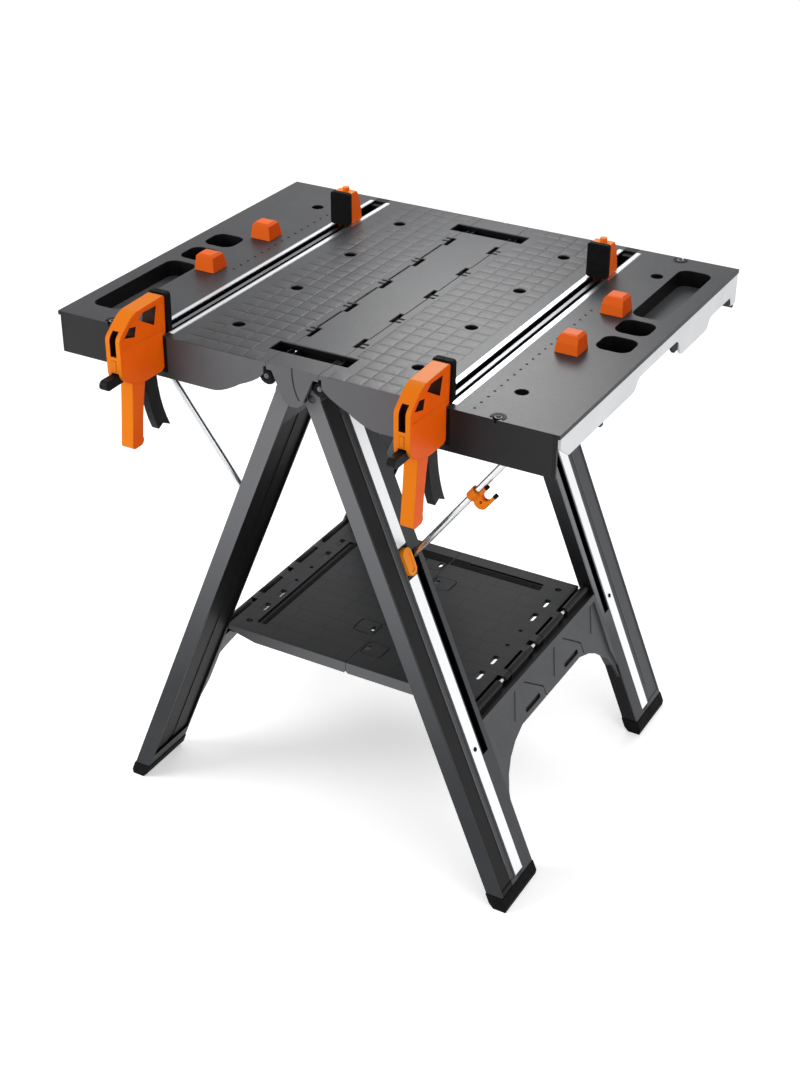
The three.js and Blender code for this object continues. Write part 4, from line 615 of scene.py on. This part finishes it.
def add_disc(mesh, centre, radius, height, sides=12):
    """A low round stud standing on the top."""
    matrix = Matrix.Translation(Vector(centre) + Vector((0, 0, height / 2)))
    bmesh.ops.create_cone(mesh, cap_ends=True, segments=sides, radius1=radius, radius2=radius * 0.8,
                          depth=height, matrix=matrix)


def ruler_dots(side):
    mesh = bmesh.new()
    for i in range(RULER_COUNT):
        x, y = turned(side, RULER_X, RULER_START + i * RULER_STEP)
        add_disc(mesh, (x, y, TOP_Z + LIFT), DOT_RADIUS, 0.4 * MM)
    return piece(side + "_ruler_dots", mesh, side + "_top", "black_plastic")


def leg_point(side, along, off, depth):
    """A place on a leg frame: along the leg from its pivot, off its middle plane, and from the bench's middle."""
    place = Vector((PIVOT_X, 0, PIVOT_Z)) + LEG_DOWN * along + LEG_OUT * off
    return Vector((SIDES[side] * place.x, MIDDLE_Y + depth, place.z))


def leg_axes(side):
    """Directions along, across and out of a leg frame."""
    flip = Vector((SIDES[side], 1, 1))
    return LEG_DOWN * flip, Vector((0, 1, 0)), LEG_OUT * flip


def add_prism(mesh, outline, start, end):
    """A closed prism: the outline's points, moved to start and to end."""
    low = [mesh.verts.new(Vector(point) + Vector(start)) for point in outline]
    high = [mesh.verts.new(Vector(point) + Vector(end)) for point in outline]
    count = len(outline)
    for i in range(count):
        j = (i + 1) % count
        mesh.faces.new((low[i], low[j], high[j], high[i]))
    mesh.faces.new(low[::-1])
    mesh.faces.new(high)


def add_lathe(mesh, origin, out, rings, sides=16):
    """A turned form: rings of a radius and a height along the direction out."""
    across = out.orthogonal().normalized()
    beside = out.cross(across).normalized()
    loops = []
    for radius, height in rings:
        loop = []
        for i in range(sides):
            angle = 2 * math.pi * i / sides
            spoke = across * math.cos(angle) + beside * math.sin(angle)
            loop.append(mesh.verts.new(origin + out * height + spoke * radius))
        loops.append(loop)
    for low, high in zip(loops, loops[1:]):
        for i in range(sides):
            j = (i + 1) % sides
            mesh.faces.new((low[i], low[j], high[j], high[i])).smooth = True
    mesh.faces.new(loops[0][::-1])
    mesh.faces.new(loops[-1])


def add_block(mesh, centre, axes, size, bevel):
    """A block with broken edges, along three given directions."""
    turn = Matrix(axes).transposed().to_4x4()
    matrix = Matrix.Translation(centre) @ turn @ Matrix.Diagonal((*size, 1))
    corners = bmesh.ops.create_cube(mesh, size=1, matrix=matrix)["verts"]
    edges = {edge for corner in corners for edge in corner.link_edges}
    bmesh.ops.bevel(mesh, geom=list(edges), offset=bevel, segments=2, affect="EDGES")


def leg_trim(side):
    """A thin bright bead in the black band of each leg."""
    mesh = bmesh.new()
    along, across, out = leg_axes(side)
    section = [(-1.0, 0), (1.0, 0), (0.7, 0.8), (-0.7, 0.8)]
    outline = [across * (a * MM) + out * (b * MM) for a, b in section]
    for sign in ENDS.values():
        start = leg_point(side, TRIM_FROM, BAND_FLOOR + LIFT, sign * TRIM_Y)
        end = leg_point(side, TRIM_TO, BAND_FLOOR + LIFT, sign * TRIM_Y)
        add_prism(mesh, outline, start, end)
    bmesh.ops.recalc_face_normals(mesh, faces=mesh.faces)
    return piece(side + "_leg_trim", mesh, side + "_legs", "leg_plastic", TRIM)


def stripe_screws(side):
    """A domed screw with a socket in the stripe of each leg."""
    mesh = bmesh.new()
    out = leg_axes(side)[2]
    rings = [(3.6, 0), (3.6, 0.6), (2.8, 1.3), (1.5, 1.5), (1.4, 0.7)]
    for sign in ENDS.values():
        origin = leg_point(side, SCREW_ALONG, STRIPE_FACE, sign * SCREW_Y)
        add_lathe(mesh, origin, out, [(r * MM, h * MM) for r, h in rings])
    return piece(side + "_stripe_screws", mesh, side + "_legs", "black_plastic")


def hinge_heads(side):
    """A black cup with a round pin head in it, where the hinge line meets the two edges of the top."""
    cups = bmesh.new()
    heads = bmesh.new()
    cup = [(13.5, 0), (13.5, 1.2), (8.5, 1.2), (8.5, 4.5), (7.2, 5), (6.8, 3)]
    head = [(4, 2.8), (4, 4.4), (3.2, 5.2), (1.2, 5.4)]
    for sign in ENDS.values():
        origin = Vector((SIDES[side] * HINGE_X, MIDDLE_Y + sign * (HALF_DEPTH - 6 * MM), HINGE_Z))
        out = Vector((0, sign, 0))
        add_lathe(cups, origin, out, [(r * MM, h * MM) for r, h in cup])
        add_lathe(heads, origin, out, [(r * MM, h * MM) for r, h in head])
    piece(side + "_hinge_cups", cups, side + "_top", "black_plastic")
    piece(side + "_hinge_heads", heads, side + "_top", "leg_plastic", TRIM)


def apron_clips(side):
    """Black wedges that hold the apron, at the steps of its lower edge."""
    mesh = bmesh.new()
    for y, z, size in APRON_CLIPS:
        corners = [(y - size, z), (y, z - size), (y + size, z - size), (y + size, z)]
        places = []
        for corner_y, corner_z in corners:
            place_x, place_y = turned(side, HALF_WIDTH, corner_y)
            places.append(Vector((place_x, place_y, corner_z)))
        inward = Vector((-SIDES[side], 0, 0))
        add_prism(mesh, places, inward * (0.6 * MM), inward * (5 * MM))
    bmesh.ops.recalc_face_normals(mesh, faces=mesh.faces)
    return piece(side + "_apron_clips", mesh, side + "_top", "black_plastic")


def add_tub(mesh, low, high, wall):
    """An open tub between two corners."""
    outer = [(low.x, low.y), (high.x, low.y), (high.x, high.y), (low.x, high.y)]
    inner = [(low.x + wall, low.y + wall), (high.x - wall, low.y + wall), (high.x - wall, high.y - wall),
             (low.x + wall, high.y - wall)]
    loops = []
    for outline, z in ((outer, low.z), (outer, high.z), (inner, high.z), (inner, low.z + wall)):
        loops.append([mesh.verts.new((x, y, z)) for x, y in outline])
    for first, second in zip(loops, loops[1:]):
        for i in range(4):
            j = (i + 1) % 4
            mesh.faces.new((first[i], first[j], second[j], second[i]))
    mesh.faces.new(loops[0][::-1])
    mesh.faces.new(loops[-1])


def grip_liners(side):
    """Black finger tubs below the hand grips."""
    mesh = bmesh.new()
    for sign in ENDS.values():
        near = turned(side, GRIP_X[0], sign * GRIP_Y[0])
        far = turned(side, GRIP_X[1], sign * GRIP_Y[1])
        low = Vector((min(near[0], far[0]), min(near[1], far[1]), GRIP_Z[0]))
        high = Vector((max(near[0], far[0]), max(near[1], far[1]), GRIP_Z[1]))
        add_tub(mesh, low, high, LINER)
    bmesh.ops.recalc_face_normals(mesh, faces=mesh.faces)
    return piece(side + "_grip_liners", mesh, side + "_top", "black_plastic")


def spine_liners():
    """Black tubs between them, below the beam's part of the hand grips."""
    mesh = bmesh.new()
    for sign in ENDS.values():
        edges = sorted((MIDDLE_Y + sign * GRIP_Y[0], MIDDLE_Y + sign * GRIP_Y[1]))
        add_tub(mesh, Vector((-SPINE_GRIP, edges[0], GRIP_Z[0])), Vector((SPINE_GRIP, edges[1], GRIP_Z[1])), LINER)
    bmesh.ops.recalc_face_normals(mesh, faces=mesh.faces)
    return piece("spine_grip_liners", mesh, "spine", "black_plastic")


def channel_shade_sheets(side):
    """Black sheets with a shallow groove, which close the channels of the legs: painted shade in place of their
    shadowed insides.
    """
    mesh = bmesh.new()
    _, across, out = leg_axes(side)
    middle = (LEG_INNER + LEG_OUTER) / 2
    half = (LEG_OUTER - LEG_INNER) / 2 - LEG_WALL - LIFT
    groove = SHEET_GROOVE / 2
    deep = SHEET_OFF + 1 * MM
    section = [(-half, SHEET_OFF), (-groove, SHEET_OFF), (-groove, deep), (groove, deep), (groove, SHEET_OFF),
               (half, SHEET_OFF), (half, deep + 1 * MM), (-half, deep + 1 * MM)]
    outline = [across * a + out * b for a, b in section]
    for sign in ENDS.values():
        start = leg_point(side, SHEET_FROM, 0, sign * middle)
        end = leg_point(side, SHEET_TO, 0, sign * middle)
        add_prism(mesh, outline, start, end)
    bmesh.ops.recalc_face_normals(mesh, faces=mesh.faces)
    return piece(side + "_channel_shade_sheets", mesh, side + "_legs", "black_plastic")


def shade_under_shelf_gap(side):
    """A dark plate of painted shade on the cross panel, below the gap at the shelf's hinge, which hides the floor
    behind the gap.
    """
    mesh = bmesh.new()
    x = SIDES[side] * (KNUCKLE_X - 14.2 * MM)
    size = (11.4 * MM, 2 * (LEG_INNER - 14 * MM), 2.2 * MM)
    add_block(mesh, Vector((x, MIDDLE_Y, KNUCKLE_Z - 6.2 * MM)), UPRIGHT, size, 0.5 * MM)
    return piece(side + "_shelf_gap_shade", mesh, side + "_legs", "black_plastic")


# Black strips of painted shade beside the shelf's troughs: across, then along from the middle
TROUGH_SHADE_STRIPS = {
    "right": (((32, 168), (146, 158.5)), ((1.5, 32), (146, 167.5))),
    "left": (((-60, -1.5), (146, 167.5)), ((-173, -165), (-161, 127))),
}
STRIP_THICK = 1.0 * MM
STRIP_PROUD = 0.25 * MM


def trough_shade_strips(side):
    """Black strips let into the shelf: painted shade that makes its troughs look as wide as they are."""
    mesh = bmesh.new()
    for across, along in TROUGH_SHADE_STRIPS[side]:
        middle = Vector((sum(across) / 2 * MM, MIDDLE_Y + sum(along) / 2 * MM, SHELF_Z + STRIP_PROUD - STRIP_THICK / 2))
        size = ((across[1] - across[0]) * MM, (along[1] - along[0]) * MM, STRIP_THICK)
        add_block(mesh, middle, UPRIGHT, size, STRIP_PROUD)
    return piece(side + "_trough_shade_strips", mesh, side + "_shelf", "rubber")


def left_barrels():
    """Hinge barrels of the left cross panel, beside the open seat of the shelf."""
    mesh = bmesh.new()
    out = Vector((0, 1, 0))
    for middle, width in BARRELS:
        for sign in ENDS.values():
            y = MIDDLE_Y + sign * middle
            origin = Vector((-KNUCKLE_X, y - width / 2, KNUCKLE_Z))
            rings = [(5.6, 0), (6.4, 0.8 * MM / width), (6.4, 1 - 0.8 * MM / width), (5.6, 1)]
            add_lathe(mesh, origin, out, [(r * MM, share * width) for r, share in rings])
            base = Vector((-KNUCKLE_X, y, KNUCKLE_Z - 4.4 * MM))
            add_block(mesh, base, UPRIGHT, (12 * MM, width - 1 * MM, 8 * MM), 0.6 * MM)
    return piece("left_shelf_barrels", mesh, "left_legs", "black_plastic")


def slot_places():
    return [(i - (SLOT_COUNT - 1) / 2) * SLOT_PITCH for i in range(SLOT_COUNT)]


def slot_backs(side):
    """Black plates under the hinge slots: painted shade that hides the floor behind them."""
    mesh = bmesh.new()
    for slot in slot_places():
        x, y = turned(side, SLOT_BACK_X, slot - SLOT_BACK_SHIFT)
        add_block(mesh, Vector((x, y, SLOT_BACK_Z)), UPRIGHT, SLOT_BACK, 0.4 * MM)
    return piece(side + "_slot_backs", mesh, side + "_top", "black_plastic")


def hinge_seam_shade_and_teeth(side):
    """Dark lines of painted shade in the joint of the hinge line between the slots, wider on the left top, and two
    small teeth at each slot.
    """
    mesh = bmesh.new()
    flat = (TOP_Z - 1 * MM, TOP_Z + LIFT)
    slots = slot_places()
    seam = (SEAM_FROM, SEAM_FROM + SEAM_SHADE_WIDTH[side])
    marks = []
    for first, second in zip(slots, slots[1:]):
        marks.append((seam, (first + SLOT_LENGTH / 2, second - SLOT_LENGTH / 2)))
    for slot in slots:
        for shift in TEETH:
            marks.append((TOOTH_X, (slot + shift - TOOTH / 2, slot + shift + TOOTH / 2)))
    for (x0, x1), (y0, y1) in marks:
        corners = [turned(side, x, y) for x, y in ((x0, y0), (x1, y0), (x1, y1), (x0, y1))]
        outline = [Vector((x, y, 0)) for x, y in corners]
        add_prism(mesh, outline, (0, 0, flat[0]), (0, 0, flat[1]))
    bmesh.ops.recalc_face_normals(mesh, faces=mesh.faces)
    return piece(side + "_hinge_seam_shade_and_teeth", mesh, side + "_top", "rubber")


def add_arc(mesh, centre, opening, reach, radii, heights):
    """A flat ring, open on one side, around a centre."""
    loops = []
    for i in range(STUD_STEPS + 1):
        angle = opening + reach + (2 * math.pi - 2 * reach) * i / STUD_STEPS
        spoke = Vector((math.cos(angle), math.sin(angle), 0))
        corners = ((radii[0], heights[0]), (radii[1], heights[0]), (radii[1], heights[1]), (radii[0], heights[1]))
        loops.append([mesh.verts.new(centre + spoke * r + Vector((0, 0, h))) for r, h in corners])
    for first, second in zip(loops, loops[1:]):
        for i in range(4):
            j = (i + 1) % 4
            mesh.faces.new((first[i], first[j], second[j], second[i]))
    mesh.faces.new(loops[0][::-1])
    mesh.faces.new(loops[-1])


def edge_studs(side):
    """At the edges of each wing: a black collar, open outward, around a pale disc with a black pin."""
    collars = bmesh.new()
    discs = bmesh.new()
    disc = [(6.0, 0.1), (6.0, 0.3), (3.6, 0.5), (3.4, 0.2)]
    pin = [(3.0, 0.2), (3.0, 0.7), (2.0, 1.1)]
    up = Vector((0, 0, 1))
    for sign in ENDS.values():
        x, y = turned(side, NOTCH_X, sign * STUD_Y)
        centre = Vector((x, y, TOP_Z))
        opening = math.copysign(math.pi / 2, y - MIDDLE_Y)
        add_arc(collars, centre, opening, STUD_OPEN, STUD_RING, (LIFT, 0.7 * MM))
        add_lathe(collars, centre, up, [(r * MM, h * MM) for r, h in pin])
        add_lathe(discs, centre, up, [(r * MM, h * MM) for r, h in disc])
    bmesh.ops.recalc_face_normals(collars, faces=collars.faces)
    piece(side + "_edge_collars", collars, side + "_top", "black_plastic")
    piece(side + "_edge_discs", discs, side + "_top", "top_plastic", PALE_TRIM)


def end_plate_gap_shade():
    """Painted shade, a black line in the gap down one edge of each end plate."""
    mesh = bmesh.new()
    for sign in ENDS.values():
        outward = Vector((0, sign, 0))
        corners = [Vector((-sign * x, MIDDLE_Y + sign * HALF_DEPTH, z)) for x, z in PLATE_GAP_SHADE]
        add_prism(mesh, corners, outward * (-LIFT / 3), outward * (-1 * MM))
    bmesh.ops.recalc_face_normals(mesh, faces=mesh.faces)
    return piece("end_plate_gap_shade", mesh, "spine", "black_plastic")


def clamp_black_plate(side):
    """The black plate between a clamp and the front edge."""
    mesh = bmesh.new()
    centre = Vector((SIDES[side] * RAIL_X, FRONT_Y - CLAMP_PLATE_SIZE[1] / 2 - LIFT, CLAMP_PLATE_Z))
    add_block(mesh, centre, UPRIGHT, CLAMP_PLATE_SIZE, CLAMP_PLATE_SIZE[1] / 3)
    return piece(side + "_clamp_black_plate", mesh, side + "_top", "rubber")


def hook_tips():
    """Black caps on the prongs of the cord hook."""
    mesh = bmesh.new()
    top = Vector((BRACE_TOP_X, MIDDLE_Y - BRACE_Y, BRACE_TOP_Z))
    foot = leg_point("right", BRACE_FOOT_ALONG, BRACE_FOOT_OFF, -BRACE_Y)
    up = (top - foot).normalized()
    across = Vector((0, 1, 0))
    below = up.cross(across)
    if below.z > 0:
        below.negate()
    root = top - up * HOOK_ALONG
    for drop in HOOK_PRONGS:
        centre = root + up * HOOK_LENGTH + below * drop
        add_block(mesh, centre, (up, across, below), HOOK_TIP, 0.8 * MM)
    bmesh.ops.recalc_face_normals(mesh, faces=mesh.faces)
    return piece("right_hook_tips", mesh, "right_brace", "black_plastic")


def camera():
    """The photograph's camera, from the fit."""
    back = Vector((math.sin(AZIMUTH) * math.cos(ELEVATION), -math.cos(AZIMUTH) * math.cos(ELEVATION),
                   math.sin(ELEVATION)))
    level = Vector((math.cos(AZIMUTH), math.sin(AZIMUTH), 0))
    upright = back.cross(level)
    right = level * math.cos(ROLL) + upright * math.sin(ROLL)
    up = upright * math.cos(ROLL) - level * math.sin(ROLL)
    data = bpy.data.cameras.new("camera")
    data.sensor_width = SENSOR
    data.lens = FOCAL_PIXELS / IMAGE[1] * SENSOR
    data.shift_x = (IMAGE[0] / 2 - CENTRE_PIXEL[0]) / IMAGE[1]
    data.shift_y = (CENTRE_PIXEL[1] - IMAGE[1] / 2) / IMAGE[1]
    made = bpy.data.objects.new("camera", data)
    place = Vector((0, MIDDLE_Y, TARGET_HEIGHT)) + back * DISTANCE
    turn = Matrix((right, up, back)).transposed().to_4x4()
    made.matrix_world = Matrix.Translation(place) @ turn
    bpy.context.scene.collection.objects.link(made)
    bpy.context.scene.camera = made


def area_light(name, place, aim, size, power):
    data = bpy.data.lights.new(name, "AREA")
    data.shape = "DISK"
    data.size = size
    data.energy = power
    made = bpy.data.objects.new(name, data)
    made.visible_camera = False
    made.location = place
    made.rotation_euler = (Vector(aim) - Vector(place)).to_track_quat("-Z", "Y").to_euler()
    bpy.context.scene.collection.objects.link(made)


def lights():
    """A key from the left, a soft fill from the right, and a light behind that sheens the near half of the top."""
    aim = (0, MIDDLE_Y, 0.5)
    area_light("key", (-2.0, -1.8, 1.7), aim, 1.6, 47)
    area_light("fill", (2.6, -1.4, 1.9), aim, 2.4, 24)
    area_light("sheen", (-0.28, 0.84, 1.5), (0.3, MIDDLE_Y - 0.2, TOP_Z), 0.6, 8)


def seen_directly(tree):
    """1 for what the camera, a mirror or glass sees, 0 for all other light."""
    path = tree.nodes.new("ShaderNodeLightPath")
    value = path.outputs["Is Camera Ray"]
    for name in ("Is Glossy Ray", "Is Transmission Ray"):
        either = tree.nodes.new("ShaderNodeMath")
        either.operation = "MAXIMUM"
        tree.links.new(value, either.inputs[0])
        tree.links.new(path.outputs[name], either.inputs[1])
        value = either.outputs["Value"]
    return value


def world():
    """Soft white surroundings, plain white where they are seen directly."""
    made = bpy.data.worlds.new("studio")
    made.use_nodes = True
    tree = made.node_tree
    soft = tree.nodes["Background"]
    soft.inputs["Color"].default_value = (1, 1, 1, 1)
    soft.inputs["Strength"].default_value = AMBIENT
    white = tree.nodes.new("ShaderNodeBackground")
    white.inputs["Color"].default_value = (1, 1, 1, 1)
    mix = tree.nodes.new("ShaderNodeMixShader")
    tree.links.new(seen_directly(tree), mix.inputs["Fac"])
    tree.links.new(soft.outputs["Background"], mix.inputs[1])
    tree.links.new(white.outputs["Background"], mix.inputs[2])
    tree.links.new(mix.outputs["Shader"], tree.nodes["World Output"].inputs["Surface"])
    bpy.context.scene.world = made


def floor():
    """A pale floor that takes the bench's shadow and reads as white around it."""
    mesh = bmesh.new()
    bmesh.ops.create_grid(mesh, x_segments=1, y_segments=1, size=12)
    data = bpy.data.meshes.new("floor")
    mesh.to_mesh(data)
    mesh.free()
    made = bpy.data.objects.new("floor", data)
    bpy.context.scene.collection.objects.link(made)
    look = Look("floor")
    look.paint(look.tone(look.noise(2.0), "f4f4f4", "f7f7f7"))
    look.shader.inputs["Roughness"].default_value = 0.9
    glow = look.node("ShaderNodeEmission")
    glow.inputs["Color"].default_value = (1, 1, 1, 1)
    look.link(look.math("MULTIPLY", seen_directly(look.tree), FLOOR_GLOW), glow.inputs["Strength"])
    both = look.node("ShaderNodeAddShader")
    look.link(look.shader.outputs["BSDF"], both.inputs[0])
    look.link(glow.outputs["Emission"], both.inputs[1])
    look.link(both.outputs["Shader"], look.tree.nodes["Material Output"].inputs["Surface"])
    data.materials.append(look.material)


dress_nodes()
for side_name in SIDES:
    grid_pads(side_name)
    ruler_dots(side_name)
    leg_trim(side_name)
    stripe_screws(side_name)
    hinge_heads(side_name)
    apron_clips(side_name)
    clamp_black_plate(side_name)
    grip_liners(side_name)
    channel_shade_sheets(side_name)
    shade_under_shelf_gap(side_name)
    trough_shade_strips(side_name)
    slot_backs(side_name)
    hinge_seam_shade_and_teeth(side_name)
    edge_studs(side_name)
spine_liners()
left_barrels()
end_plate_gap_shade()
hook_tips()
camera()
lights()
world()
floor()

bpy.context.scene.view_settings.view_transform = "Standard"
